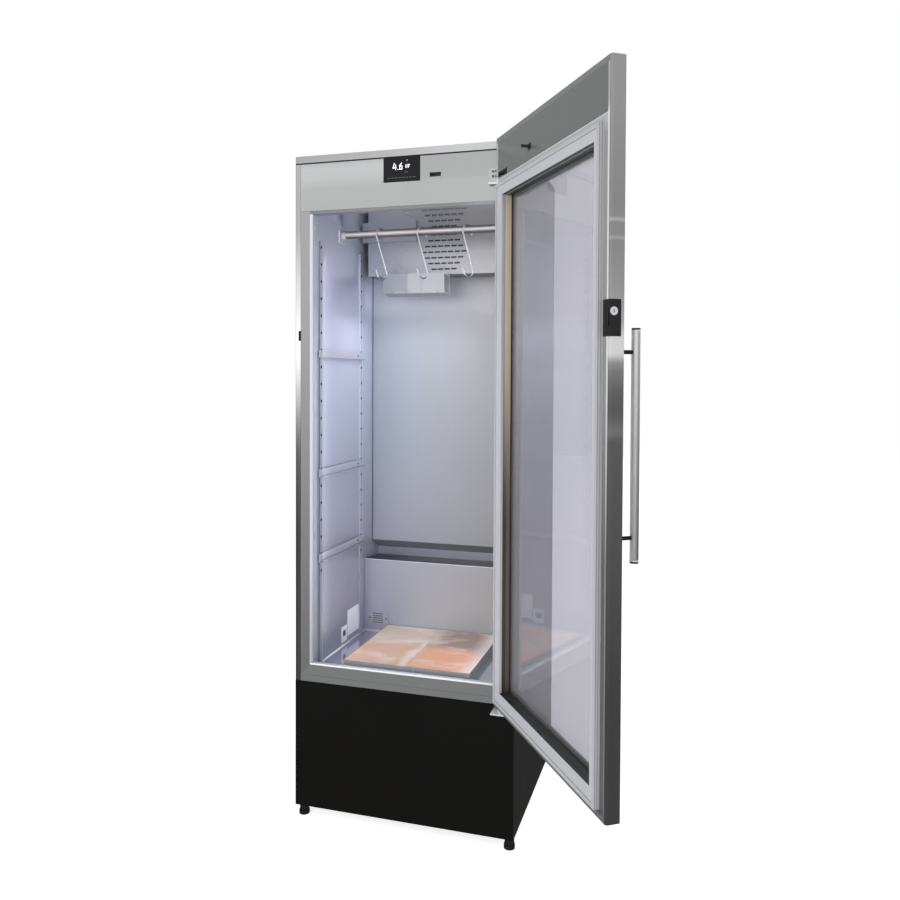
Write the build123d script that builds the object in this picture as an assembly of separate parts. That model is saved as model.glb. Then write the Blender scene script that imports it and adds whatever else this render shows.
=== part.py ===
from build123d import *
import math
import os

# Free-standing dry aging cabinet with a glazed door, in millimetres.
# X runs across the front, +Y into the cabinet and +Z up. The origin lies on the floor,
# midway between the sides, in the plane of the cabinet's front face.

# Whole cabinet
cabinet_width = 700.0
cabinet_depth = 650.0
cabinet_height = 2059.0
skin = 1.2
seam = 0.5
seat = 0.3
overrun = 5.0
foot_height = 38.0
base_height = 393.0
lid_height = 23.0
lid_seam = 2.0
lid_spacer_inset = 5.0

# Front frame round the opening, from outside in
return_width = 18.5
return_radius = 3.0
jamb_width = 31.5
strip_width = 9.0
lower_rail_height = 20.6
sill_height = 32.9
sill_strip_height = 5.0
sill_strip_flat = 15.0
opening_drop = 169.5
frame_depth = 30.0

# Chamber behind the opening
floor_drop = 17.5
rear_wall = 102.0
air_gap = 60.0
false_back_rise = 313.0
lip_run = 58.0
lip_drop = 35.0
guard_setback = 73.0
guard_height = 258.0
guard_foot = 12.0
guard_top_fall = 10.0

# Slotted shelf standards and the shelf supports on them
standard_width = 20.0
standard_rise = 4.0
standard_sheet = 1.5
standard_front_y = 53.0
standard_back_inset = 174.0
slot_top_drop = 94.5
slot_bottom_rise = 295.6
slot_count = 20
slot_width = 9.0
slot_height = 8.0
support_height = 24.0
support_sheet = 1.5
support_slots = (6, 13, 18)
support_overhang = 18.0
support_pin_radius = 2.5
support_pin_inset = 52.0

# Hanging rail and S-hooks
rail_diameter = 25.0
rail_wall = 1.5
rail_y = 211.0
rail_drop = 32.5
rail_bracket_height = 38.0
rail_bracket_depth = 44.0
rail_bracket_sheet = 5.0
hook_wire = 4.5
hook_gap = 0.3
hook_length = 169.0
hook_top_radius = 19.8
hook_bottom_radius = 19.0
hook_bottom_offset = 6.0
hook_point_height = 27.0
hook_twist = 58.0
hook_tip_angle = -25.0
hook_point_angle = -157.0
hook_places = (-148.5, -8.0, 144.0)

# Evaporator housing under the ceiling
cover_side_gap = 24.0
cover_depth = 103.0
cover_height = 150.0
slot_field_x = 12.0
slot_field_drop = 72.7
louvre_length = 19.0
louvre_height = 5.0
louvre_pitch = 23.6
louvre_row_pitch = 19.5
louvre_rows = (4, 5, 6, 7, 6, 5, 4)
coil_depth = 34.0
coil_height = 126.0
coil_side_gap = 27.0
coil_tube = 9.5
coil_tube_rows = 4
condenser_tube_rows = 8
fin_margin = 12.0
fin_pitch = 10.0
fin_sheet = 1.0
fan_radius = 58.0
fan_hub_radius = 16.0
fan_depth = 18.0
fan_gap = 9.0
blade_count = 5
blade_sheet = 2.0
blade_pitch_angle = 32.0
blade_chord_share = 0.8
motor_radius = 26.0
motor_length = 28.0
motor_shaft_radius = 3.0
motor_bracket_width = 30.0
motor_bracket_sheet = 2.0
shaft_clearance = 0.05
conduit_side_gap = 12.0
conduit_right = -82.0
conduit_height = 34.0
conduit_depth = 20.0
lamp_left = -189.0
lamp_right = 29.0
lamp_height = 66.5
lamp_forward = 55.0
lamp_depth = 70.0
lamp_louvre_count = 6
lamp_louvre_gap = 4.0
lamp_louvre_pitch = 9.3
lamp_louvre_rise = 9.0
lamp_louvre_length = 46.0
lamp_louvre_angle = -7.0

# Salt tray on the chamber floor
tray_left_gap = 91.0
tray_right_gap = 83.0
tray_front_y = 31.0
tray_back_gap = 3.0
tray_lip = 27.0
tray_sheet = 1.2
salt_block_height = 26.5
salt_joint = 0.6

# Vent plate on the lower guard panel
vent_side_gap = 53.0
vent_rise = 47.5
vent_plate_width = 78.0
vent_plate_height = 42.0
vent_plate_sheet = 1.5
vent_columns = 5
vent_rows = 5
vent_column_pitch = 7.6
vent_row_pitch = 7.8
vent_hole_width = 4.4
vent_hole_height = 4.4
vent_screw_pitch = 62.4

# Display, door switch and mains inlet
display_left = -58.0
display_width = 115.5
display_height = 74.5
display_proud = 1.0
display_depth = 24.0
display_radius = 9.0
screen_margin = 5.0
screen_recess = 0.6
switch_slot_left = 87.0
switch_slot_width = 35.0
switch_slot_drop = 66.0
switch_slot_height = 13.0
switch_depth = 24.0
switch_wall = 2.0
inlet_width = 50.0
inlet_height = 30.0
inlet_depth = 32.0
inlet_z = 110.0
inlet_inset = 110.0
inlet_flange = 2.0
inlet_socket_depth = 20.0
inlet_socket_margin = 6.0

# Base with the cooling machinery
base_proud = 1.5
base_wrap = 13.0
base_sheet = 1.5
plate_sheet = 2.0
grille_slot_width = 6.0
grille_slot_height = 120.0
grille_slot_pitch = 14.0
grille_slot_count = 30
grille_slot_z = 200.0
compressor_inset = 180.0
compressor_back = 250.0
compressor_radius = 82.0
compressor_height = 190.0
compressor_crown = 30.0
compressor_foot = 8.0
compressor_wall = 4.0
compressor_core_radius = 45.0
compressor_core_height = 110.0
condenser_inset = 50.0
condenser_right = 20.0
condenser_y = 90.0
condenser_depth = 70.0
condenser_height = 300.0
condenser_base = 6.0
shroud_sheet = 2.0
condenser_fan_radius = 118.0
condenser_fan_hub = 28.0
condenser_fan_depth = 30.0
condenser_fan_gap = 12.0
condenser_motor_radius = 40.0
condenser_motor_length = 60.0
condenser_bracket_width = 40.0
condenser_bracket_sheet = 3.0
condenser_bracket_foot = 40.0
pan_width = 220.0
pan_depth = 200.0
pan_height = 40.0
pan_back = 270.0
pan_inset = 180.0
pan_sheet = 2.0

# Levelling feet
foot_inset = 18.0
foot_front_y = 28.0
foot_back_inset = 40.0
foot_radius = 16.5
foot_pad_height = 12.0
foot_neck_radius = 14.5
foot_stem_radius = 6.0
foot_stem_length = 46.0
foot_nut_radius = 13.0
foot_nut_height = 14.0
thread_clearance = 0.08

# Door, measured closed
door_left_inset = 13.0
door_right_inset = 14.5
door_bottom_gap = 4.3
door_top_gap = 0.2
door_gap = 14.0
door_thickness = 35.7
door_outer_radius = 3.0
door_fold_radius = 7.0
door_flange = 13.0
head_line_drop = 117.3
head_line = 0.8
door_open_angle = 124.425
pivot_inset = 33.5
pivot_y = -28.0

# Window and its frame on the inner side
window_left_margin = 52.5
window_right_margin = 74.5
window_bottom_rise = 63.2
window_top_drop = 171.8
window_frame_rise = 12.0
pane_thickness = 4.0
pane_setback = 20.7
pane_seat = 10.0
frame_inset = 41.0
frame_bottom_rise = 21.7
frame_top_drop = 135.8
gasket_width = 10.0
gasket_rise = 13.4

# Handle
handle_diameter = 19.2
handle_wall = 1.5
handle_standout = 45.0
handle_inset = 31.0
handle_bottom_drop = 1076.0
handle_length = 508.2
handle_cap = 7.0
standoff_diameter = 9.0
standoff_drop_top = 52.0
standoff_rise_bottom = 55.1
standoff_collar_radius = 7.0
standoff_collar = 3.0

# Door lock
lock_width = 27.5
lock_bottom_drop = 587.8
lock_height = 78.0
lock_depth = 27.0
lock_proud = 0.6
lock_axis_y = -23.8
lock_axis_rise = 53.0
lock_plug_radius = 9.0
lock_plug_proud = 1.4
lock_plug_length = 16.0
lock_cam_sheet = 3.0
lock_cam_cover = 1.4
lock_cam_width = 8.0
lock_cam_offset = 14.0
lock_cam_reach = 29.0
lock_clearance = 0.4
keeper_inset = 11.0
keeper_width = 8.5
keeper_rise = 20.0
keeper_height = 31.0

# Door switch finger
finger_inset = 9.5
finger_width = 5.0
finger_height = 7.0
finger_reach = 9.0
finger_plate_width = 18.0
finger_plate_height = 16.0
finger_plate_sheet = 1.2

# Top hinge
hinge_pin_radius = 5.0
hinge_clearance = 0.05
top_plate_width = 48.0
top_plate_inset = 34.0
top_plate_drop = 102.0
top_plate_height = 48.0
top_plate_sheet = 3.0
top_flange_width = 24.0
top_flange_sheet = 6.0
top_flange_reach = 12.0
arm_inset = 28.0
arm_width = 20.0
arm_rise = 12.0
arm_sheet = 5.0
arm_end_radius = 9.0
top_pin_length = 28.0
hinge_pocket_side = 14.0
hinge_pocket_margin = 1.0
hinge_pocket_height = 16.0
hinge_notch_side = 5.0
hinge_notch_height = 7.0
hinge_notch_depth = 32.0
bush_radius = 10.0

# Bottom hinge
bottom_plate_width = 59.0
bottom_plate_reach = 50.0
bottom_plate_drop = 8.3
bottom_plate_sheet = 4.5
bottom_leg_height = 60.0
bottom_leg_inset = 3.0
bottom_collar_radius = 9.0
bottom_pin_length = 26.0

# Screws
screw_head_radius = 3.6
screw_head_height = 2.2
top_screw_inset = 16.5
top_screw_pitch_x = 9.0
top_screw_rise = 31.5
top_screw_pitch_z = 14.0
small_head_radius = 3.0
small_head_height = 1.6
lamp_screw_inset = 24.0

# Places worked out from the sizes
half_width = cabinet_width / 2
base_bottom = foot_height
base_top = foot_height + base_height
lid_bottom = cabinet_height - lid_height
body_top = lid_bottom - lid_seam
sill_bottom = base_top + lower_rail_height
sill_top = sill_bottom + sill_height
opening_bottom = sill_top + sill_strip_height
opening_top = cabinet_height - opening_drop
jamb_outer = half_width - return_width
jamb_inner = jamb_outer - jamb_width
chamber_half = jamb_inner - strip_width
ceiling_z = opening_top - strip_width
floor_z = opening_bottom - floor_drop
chamber_depth = cabinet_depth - rear_wall
false_back_y = chamber_depth - air_gap
false_back_bottom = floor_z + false_back_rise
guard_y = false_back_y - guard_setback
guard_top = floor_z + guard_height
standard_back_y = chamber_depth - standard_back_inset
slot_top_z = ceiling_z - slot_top_drop
slot_bottom_z = floor_z + slot_bottom_rise
slot_pitch = (slot_top_z - slot_bottom_z) / (slot_count - 1)
rail_z = ceiling_z - rail_drop
cover_front_y = false_back_y - cover_depth
cover_bottom = ceiling_z - cover_height
lamp_bottom = cover_bottom - lamp_height
lamp_front_y = cover_front_y - lamp_forward
tray_depth = guard_y - tray_front_y - tray_back_gap
vent_z = floor_z + vent_rise
switch_slot_bottom = lid_bottom - switch_slot_drop
compressor_y = cabinet_depth - compressor_back
pan_y = cabinet_depth - pan_back
door_bottom = base_top + door_bottom_gap
door_top = cabinet_height - door_top_gap
head_line_z = door_top - head_line_drop
window_bottom = door_bottom + window_bottom_rise
window_top = door_top - window_top_drop
frame_bottom = door_bottom + frame_bottom_rise
frame_top = door_top - frame_top_drop
handle_bottom = door_top - handle_bottom_drop
lock_bottom = door_top - lock_bottom_drop
lock_axis_z = lock_bottom + lock_axis_rise
keeper_bottom = lock_bottom + keeper_rise
finger_x = switch_slot_left + finger_inset
finger_z = switch_slot_bottom + switch_slot_height / 2
top_plate_bottom = lid_bottom - top_plate_drop
top_plate_top = top_plate_bottom + top_plate_height
arm_bottom = top_plate_bottom + arm_rise
hinge_pocket_bottom = arm_bottom - hinge_pocket_margin
bottom_plate_top = base_top - bottom_plate_drop
top_screw_z = top_plate_bottom + top_screw_rise
cover_half_width = chamber_half - cover_side_gap
coil_half_width = cover_half_width - coil_side_gap
conduit_left = -chamber_half + conduit_side_gap
tray_left = -chamber_half + tray_left_gap
tray_width = chamber_half - tray_right_gap - tray_left
vent_x = -chamber_half + vent_side_gap
inlet_x = half_width - inlet_inset
compressor_x = half_width - compressor_inset
condenser_left = -half_width + condenser_inset
pan_x = -half_width + pan_inset
foot_x = half_width - foot_inset
door_left = -half_width + door_left_inset
door_right = half_width - door_right_inset
pivot_x = half_width - pivot_inset
window_left = door_left + window_left_margin
window_right = door_right - window_right_margin
frame_outer = half_width - frame_inset
handle_x = door_left + handle_inset
lock_inner_x = door_left + lock_width
keeper_left = -half_width + keeper_inset
top_plate_right = half_width - top_plate_inset
top_plate_left = top_plate_right - top_plate_width
top_flange_right = top_plate_left + top_flange_width
arm_left = top_plate_left + arm_inset
arm_right = arm_left + arm_width
hinge_pocket_left = top_plate_left - hinge_pocket_side
hinge_notch_left = arm_right + hinge_notch_side
bottom_plate_left = half_width - bottom_plate_width
bottom_leg_right = half_width - bottom_leg_inset
top_screw_x = top_plate_left + top_screw_inset
door_inner_y = -door_gap
door_outer_y = -door_gap - door_thickness
window_frame_outer = frame_outer - gasket_width - seam
pane_inner_y = door_inner_y - pane_setback


def block(x, y, z):
    """A box from its low and high limits along each axis."""
    box = Box(x[1] - x[0], y[1] - y[0], z[1] - z[0])
    return Pos((x[0] + x[1]) / 2, (y[0] + y[1]) / 2, (z[0] + z[1]) / 2) * box


def rod(radius, start, end, axis):
    """A round bar along one axis between two places on it; start gives its other two places."""
    length = abs(end - start[axis])
    middle = list(start)
    middle[axis] = (start[axis] + end) / 2
    turn = (Rot(0, 90, 0), Rot(90, 0, 0), Rot(0, 0, 0))[axis]
    return Pos(*middle) * turn * Cylinder(radius, length)


def mirrored(shape):
    """The same piece on the other side of the cabinet."""
    return mirror(shape, about=Plane.YZ)


def opened(shape):
    """A door piece, drawn closed, at the door's rest angle."""
    about_pivot = Pos(-pivot_x, -pivot_y, 0) * shape
    return Pos(pivot_x, pivot_y, 0) * Rot(0, 0, door_open_angle) * about_pivot


def save(name, *solids):
    """One node: a single solid, or several under one name."""
    shape = solids[0] if len(solids) == 1 else Compound(children=list(solids))
    export_step(shape, "parts/" + name + ".step")


def vertical_edges(shape, x, y):
    """The upright edges at one corner of a shape."""
    near = skin / 2
    return [e for e in shape.edges().filter_by(Axis.Z)
            if abs(e.center().X - x) < near and abs(e.center().Y - y) < near]


# Outer panels
def side_panel():
    """Left side sheet with its rounded return on the front face and the keeper notch."""
    height = (base_top + seam, body_top)
    outer = block((-half_width, -jamb_outer - seam), (0, cabinet_depth), height)
    outer = fillet(vertical_edges(outer, -half_width, 0), return_radius)
    inner = block((-half_width + skin, -jamb_outer + overrun), (skin, cabinet_depth + overrun), height)
    corner = vertical_edges(inner, -half_width + skin, skin)
    inner = fillet(corner, return_radius - skin)
    return outer - inner


def keeper_cut():
    keeper_z = (keeper_bottom, keeper_bottom + keeper_height)
    return block((keeper_left, keeper_left + keeper_width), (-overrun, skin + lock_cam_reach), keeper_z)


def header_fascia():
    """Folded panel over the opening, cut for the display, the door switch and the hinge plate."""
    top = body_top
    outer = block((-jamb_outer, jamb_outer), (0, frame_depth), (opening_top + seam, top))
    inner = block((-jamb_outer + skin, jamb_outer - skin), (skin, frame_depth + overrun),
                  (opening_top + seam + skin, top - skin))
    display = block((display_left - seat, display_left + display_width + seat),
                    (-overrun, skin + overrun), (lid_bottom - display_height - seat, top + overrun))
    slot_z = (switch_slot_bottom, switch_slot_bottom + switch_slot_height)
    slot_right = switch_slot_left + switch_slot_width
    slot = block((switch_slot_left, slot_right), (-overrun, skin + overrun), slot_z)
    display_back = block((display_left - seat, display_left + display_width + seat),
                         (-overrun, frame_depth), (top - skin - overrun, top + overrun))
    return outer - inner - display - slot - display_back


def jamb():
    """Left upright of the front frame: a folded channel, mitred at its foot to the sill."""
    outer = block((-jamb_outer, -jamb_inner), (0, frame_depth), (sill_bottom, opening_top))
    inner = block((-jamb_outer + skin, -jamb_inner - skin), (skin, frame_depth + overrun),
                  (sill_bottom - overrun, opening_top + overrun))
    channel = outer - inner
    mitre = Polyline((-jamb_outer - overrun, sill_bottom - overrun),
                     (-jamb_inner + overrun, sill_bottom - overrun),
                     (-jamb_inner + overrun, sill_top + seam),
                     (-jamb_inner, sill_top + seam),
                     (-jamb_outer, sill_bottom + seam),
                     (-jamb_outer - overrun, sill_bottom + seam), close=True)
    wedge = extrude(Plane.XZ * make_face(mitre), frame_depth + overrun, both=True)
    return channel - wedge


def sill():
    """Folded sill between the two mitres."""
    face = Polyline((-jamb_outer, sill_bottom), (jamb_outer, sill_bottom),
                    (jamb_inner, sill_top), (-jamb_inner, sill_top), close=True)
    outer = Pos(0, frame_depth, 0) * extrude(Plane.XZ * make_face(face), frame_depth)
    inner = block((-jamb_outer - overrun, jamb_outer + overrun), (skin, frame_depth + overrun),
                  (sill_bottom + skin, sill_top - skin))
    return outer - inner


def lower_rail():
    outer = block((-jamb_outer, jamb_outer), (0, frame_depth), (base_top + seam, sill_bottom - seam))
    inner = block((-jamb_outer - overrun, jamb_outer + overrun), (skin, frame_depth + overrun),
                  (base_top + seam + skin, sill_bottom - seam - skin))
    return outer - inner


def breaker_frame():
    """Pale plastic strip all round the opening, between the steel frame and the liner."""
    outer = block((-jamb_inner, jamb_inner), (0, frame_depth), (sill_top, opening_top))
    inner = block((-chamber_half, chamber_half), (-overrun, frame_depth + overrun),
                  (opening_bottom, ceiling_z))
    fall = Polyline((sill_strip_flat, opening_bottom + seam), (frame_depth + seam, opening_bottom + seam),
                    (frame_depth + seam, floor_z), (frame_depth, floor_z), (sill_strip_flat, opening_bottom),
                    close=True)
    return outer - inner - extrude(Plane.YZ * make_face(fall), chamber_half, both=True)


def top_lid():
    """Shallow lid whose edge shows above the header, with a dark seam under it."""
    lid = block((-half_width, half_width), (0, cabinet_depth), (lid_bottom, cabinet_height))
    lid = fillet([e for e in lid.edges().filter_by(Axis.Z)], return_radius)
    lid -= block((-half_width + skin, half_width - skin), (skin, cabinet_depth - skin),
                 (lid_bottom - overrun, cabinet_height - skin))
    inset = lid_spacer_inset
    frame = block((-half_width + inset, half_width - inset), (inset, cabinet_depth - inset),
                  (body_top, cabinet_height - skin))
    wall = inset + skin
    return lid + (frame - block((-half_width + wall, half_width - wall), (wall, cabinet_depth - wall),
                                (body_top - overrun, cabinet_height - skin)))


def foam():
    """Insulation between the liner and the outer sheets, in five slabs."""
    outer_x = half_width - skin
    liner_x = chamber_half + skin
    front = frame_depth
    back = cabinet_depth - skin
    left = block((-outer_x, -liner_x), (front, back), (base_top + seam, body_top))
    roof = block((-liner_x, liner_x), (front, back), (ceiling_z + skin, body_top))
    rear = block((-liner_x, liner_x), (chamber_depth + skin, back), (floor_z - skin, ceiling_z + skin))
    slab = block((-liner_x, liner_x), (front, back), (base_top + seam, floor_z - skin))
    return left, mirrored(left), roof, rear, slab


# Chamber lining
def liner():
    height = (floor_z, ceiling_z)
    left = block((-chamber_half - skin, -chamber_half), (frame_depth, chamber_depth), height)
    back_x = (-chamber_half - skin, chamber_half + skin)
    back = block(back_x, (chamber_depth, chamber_depth + skin), height)
    ceiling = block(back_x, (frame_depth, chamber_depth + skin), (ceiling_z, ceiling_z + skin))
    return left, mirrored(left), back, ceiling


def floor_pan():
    return block((-chamber_half - skin, chamber_half + skin), (frame_depth, chamber_depth + skin),
                 (floor_z - skin, floor_z))


def shelf_standard(y):
    """Left slotted upright: a shallow channel with a column of slots."""
    x = (-chamber_half, -chamber_half + standard_rise)
    side = (y - standard_width / 2, y + standard_width / 2)
    z = (floor_z + seat, cover_bottom + (ceiling_z - cover_bottom) / 2)
    inside = (side[0] + standard_sheet, side[1] - standard_sheet)
    channel = block(x, side, z) - block((x[0] - overrun, x[1] - standard_sheet), inside,
                                        (z[0] - overrun, z[1] + overrun))
    for i in range(slot_count):
        middle = slot_top_z - i * slot_pitch
        channel -= block((x[0] - overrun, x[1] + overrun), (y - slot_width / 2, y + slot_width / 2),
                         (middle - slot_height / 2, middle + slot_height / 2))
    return channel


def shelf_support(index):
    """Left angle rail clipped to the front and back uprights, with its flange inwards."""
    x = -chamber_half + standard_rise
    top = slot_top_z - index * slot_pitch
    y = (standard_front_y - support_overhang, standard_back_y + support_overhang)
    web = block((x, x + support_sheet), y, (top - support_height, top))
    shelf = block((x, x + support_height / 2), y, (top - support_height,
                                                   top - support_height + support_sheet))
    pin_y = y[1] - support_pin_inset
    pin = rod(support_pin_radius, (x + support_sheet, pin_y, top - support_height / 2),
              x + support_sheet + support_pin_radius, 0)
    return web + shelf + pin


def false_back():
    """Rear duct panel with a lip that slopes back to the liner at its foot."""
    half = chamber_half - seat
    lip_y = false_back_y + lip_run - seat
    outline = Polyline((false_back_y, ceiling_z - seat), (false_back_y, false_back_bottom),
                       (lip_y, false_back_bottom - lip_drop),
                       (lip_y, false_back_bottom - lip_drop + 2 * skin),
                       (false_back_y + skin, false_back_bottom + skin),
                       (false_back_y + skin, ceiling_z - seat), close=True)
    return extrude(Plane.YZ * make_face(outline), half, both=True)


def guard_panel():
    """Low panel across the back of the floor, its top folded back to the wall, with a port for the vent."""
    half = chamber_half - seat
    panel = block((-half, half), (guard_y, guard_y + skin), (floor_z + seat, guard_top))
    back = chamber_depth - seat
    cover = Polyline((guard_y, guard_top), (back, guard_top - guard_top_fall),
                     (back, guard_top - guard_top_fall - skin), (guard_y, guard_top - skin), close=True)
    top = extrude(Plane.YZ * make_face(cover), half, both=True)
    foot = block((-half, half), (guard_y, guard_y + guard_foot), (floor_z + seat, floor_z + seat + skin))
    port_x = (vent_columns * vent_column_pitch) / 2
    port_z = (vent_rows * vent_row_pitch) / 2
    port = block((vent_x - port_x, vent_x + port_x), (guard_y - overrun, guard_y + skin + overrun / 2),
                 (vent_z - port_z, vent_z + port_z))
    return panel + top + foot - port


def vent_plate():
    plate = block((vent_x - vent_plate_width / 2, vent_x + vent_plate_width / 2),
                  (guard_y - vent_plate_sheet, guard_y),
                  (vent_z - vent_plate_height / 2, vent_z + vent_plate_height / 2))
    for column in range(vent_columns):
        for row in range(vent_rows):
            x = vent_x + (column - (vent_columns - 1) / 2) * vent_column_pitch
            z = vent_z + (row - (vent_rows - 1) / 2) * vent_row_pitch
            plate -= block((x - vent_hole_width / 2, x + vent_hole_width / 2),
                           (guard_y - vent_plate_sheet - overrun, guard_y + overrun),
                           (z - vent_hole_height / 2, z + vent_hole_height / 2))
    return plate


# Evaporator housing
def evaporator_cover():
    """Folded cover with staggered rows of slots in front of the fan."""
    x = (-cover_half_width, cover_half_width)
    y = (cover_front_y, false_back_y - seat)
    z = (cover_bottom, ceiling_z - seat)
    shell = block(x, y, z) - block((x[0] + skin, x[1] - skin), (y[0] + skin, y[1] + overrun),
                                   (z[0] + skin, z[1] + overrun))
    middle = ceiling_z - slot_field_drop
    for row, count in enumerate(louvre_rows):
        slot_z = middle + ((len(louvre_rows) - 1) / 2 - row) * louvre_row_pitch
        for i in range(count):
            slot_x = slot_field_x + (i - (count - 1) / 2) * louvre_pitch
            shell -= block((slot_x - louvre_length / 2, slot_x + louvre_length / 2),
                           (y[0] - overrun, y[0] + skin + overrun),
                           (slot_z - louvre_height / 2, slot_z + louvre_height / 2))
    return shell


fan_centre_z = ceiling_z - slot_field_drop
fan_front_y = cover_front_y + skin + fan_gap
motor_front_y = fan_front_y + fan_depth + seat
coil_front_y = false_back_y - seat - coil_depth


def fan(radius, hub, depth, front_y, x, z, bore):
    """Axial fan on the Y axis: a hub with flat pitched blades."""
    wheel = rod(hub, (x, front_y, z), front_y + depth, 1)
    root = hub - blade_sheet
    chord = min(radius - hub, depth / math.sin(math.radians(blade_pitch_angle))) * blade_chord_share
    for i in range(blade_count):
        blade = Pos((root + radius) / 2, 0, 0) * Rot(blade_pitch_angle, 0, 0) * Box(
            radius - root, blade_sheet, chord)
        place = Pos(x, front_y + depth / 2, z) * Rot(0, i * 360 / blade_count, 0)
        wheel += place * blade
    wheel = wheel & rod(radius, (x, front_y, z), front_y + depth, 1)
    return wheel - rod(bore, (x, front_y + depth / 3, z), front_y + depth + overrun, 1)


def evaporator_fan():
    return fan(fan_radius, fan_hub_radius, fan_depth, fan_front_y, slot_field_x, fan_centre_z,
               motor_shaft_radius + shaft_clearance)


def evaporator_motor():
    """Fan motor on a strap that stands on the cover's floor and reaches the ceiling."""
    back = motor_front_y + motor_length
    body = rod(motor_radius, (slot_field_x, motor_front_y, fan_centre_z), back, 1)
    shaft = rod(motor_shaft_radius, (slot_field_x, fan_front_y + fan_depth / 3 + seat, fan_centre_z),
                back, 1)
    strap = block((slot_field_x - motor_bracket_width / 2, slot_field_x + motor_bracket_width / 2),
                  (back, back + motor_bracket_sheet), (cover_bottom + skin, ceiling_z - seat))
    return body + shaft + strap


def fin_block(x, y, z, rows):
    """A row of upright fins on straight tubes, with an end plate at each side."""
    count = round((x[1] - x[0]) / fin_pitch) + 1
    pitch = (x[1] - x[0] - fin_sheet) / (count - 1)
    fins = [block((x[0] + i * pitch, x[0] + i * pitch + fin_sheet), y, z) for i in range(count)]
    step = (z[1] - z[0] - 2 * fin_margin) / (rows - 1)
    tubes = [rod(coil_tube / 2, (x[0] - fin_margin / 2, (y[0] + y[1]) / 2, z[0] + fin_margin + i * step),
                 x[1] + fin_margin / 2, 0) for i in range(rows)]
    return tubes[0].fuse(*tubes[1:], *fins)


def evaporator_coil():
    """Fin block that stands on the cover's floor."""
    bottom = cover_bottom + skin
    top = bottom + coil_height
    return fin_block((-coil_half_width, coil_half_width), (coil_front_y, coil_front_y + coil_depth),
                     (bottom, top), coil_tube_rows)


def conduit_box():
    """Shallow strip box under the ceiling, against the cover's face."""
    return block((conduit_left, conduit_right), (cover_front_y - conduit_depth, cover_front_y),
                 (ceiling_z - conduit_height, ceiling_z - seat))


def lamp_box():
    """Steriliser box under the cover, with slanted louvres in its right cheek."""
    x = (lamp_left, lamp_right)
    y = (lamp_front_y, lamp_front_y + lamp_depth)
    z = (lamp_bottom, cover_bottom)
    box = block(x, y, z) - block((x[0] + skin, x[1] - skin), (y[0] + skin, y[1] - skin),
                                 (z[0] + skin, z[1] - skin))
    for i in range(lamp_louvre_count):
        level = z[0] + lamp_louvre_rise + i * lamp_louvre_pitch
        cut = Pos(x[1], (y[0] + y[1]) / 2, level) * Rot(lamp_louvre_angle, 0, 0) * Box(
            2 * overrun, lamp_louvre_length, lamp_louvre_gap)
        box -= cut
    return box


# Hanging rail and hooks
def hanging_rail():
    end = chamber_half - seat
    tube = rod(rail_diameter / 2, (-end, rail_y, rail_z), end, 0)
    return tube - rod(rail_diameter / 2 - rail_wall, (-end - overrun, rail_y, rail_z), end + overrun, 0)


def rail_bracket():
    """Left cup on the wall that carries the rail's end."""
    x = (-chamber_half, -chamber_half + rail_bracket_sheet)
    plate = block(x, (rail_y - rail_bracket_depth / 2, rail_y + rail_bracket_depth / 2),
                  (rail_z - 2 * rail_bracket_height / 3, rail_z + rail_bracket_height / 3))
    return plate - rod(rail_diameter / 2 + thread_clearance, (x[0] - overrun, rail_y, rail_z),
                       x[1] + overrun, 0)


def s_hook(x):
    """Wire S-hook whose upper curl hangs on the rail and whose point faces the front."""
    top = Vector(0, 0, -(hook_top_radius - hook_wire / 2 - rail_diameter / 2 - hook_gap))
    foot_z = top.Z + hook_top_radius + hook_wire / 2 - hook_length + hook_wire / 2
    low = Vector(hook_bottom_offset, 0, foot_z + hook_bottom_radius)
    span = math.hypot(low.X - top.X, low.Z - top.Z)
    lean = math.degrees(math.atan2(low.X - top.X, top.Z - low.Z)
                        + math.asin((hook_top_radius + hook_bottom_radius) / span))

    def on(centre, radius, angle):
        turn = math.radians(angle)
        return centre + Vector(radius * math.cos(turn), 0, radius * math.sin(turn))

    crown = (hook_tip_angle + 180 + lean) / 2
    upper = [on(top, hook_top_radius, a) for a in (hook_tip_angle, crown, 180 + lean)]
    lower = [on(low, hook_bottom_radius, a) for a in (lean, (lean + hook_point_angle) / 2, hook_point_angle)]
    slope = math.radians(hook_point_angle)
    rise = foot_z + hook_point_height - lower[2].Z
    point = lower[2] + Vector(-rise * math.tan(slope), 0, rise)
    path = Wire([ThreePointArc(*upper), Line(upper[2], lower[0]), ThreePointArc(*lower),
                 Line(lower[2], point)])
    wire = sweep(Plane(origin=path @ 0, z_dir=path % 0) * Circle(hook_wire / 2), path=path)
    wire = wire + Pos(*upper[0]) * Sphere(hook_wire / 2) + Pos(*point) * Sphere(hook_wire / 2)
    hung = Rot(0, 0, hook_twist) * wire
    balance = math.degrees(math.atan2(hung.center(CenterOf.MASS).Y, -hung.center(CenterOf.MASS).Z))
    return Pos(x, rail_y, rail_z) * Rot(-balance, 0, 0) * hung


# Salt tray
def salt_tray():
    x = (tray_left, tray_left + tray_width)
    y = (tray_front_y, tray_front_y + tray_depth)
    z = (floor_z + seat, floor_z + seat + tray_lip)
    return block(x, y, z) - block((x[0] + tray_sheet, x[1] - tray_sheet),
                                  (y[0] + tray_sheet, y[1] - tray_sheet),
                                  (z[0] + tray_sheet, z[1] + overrun))


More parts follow.
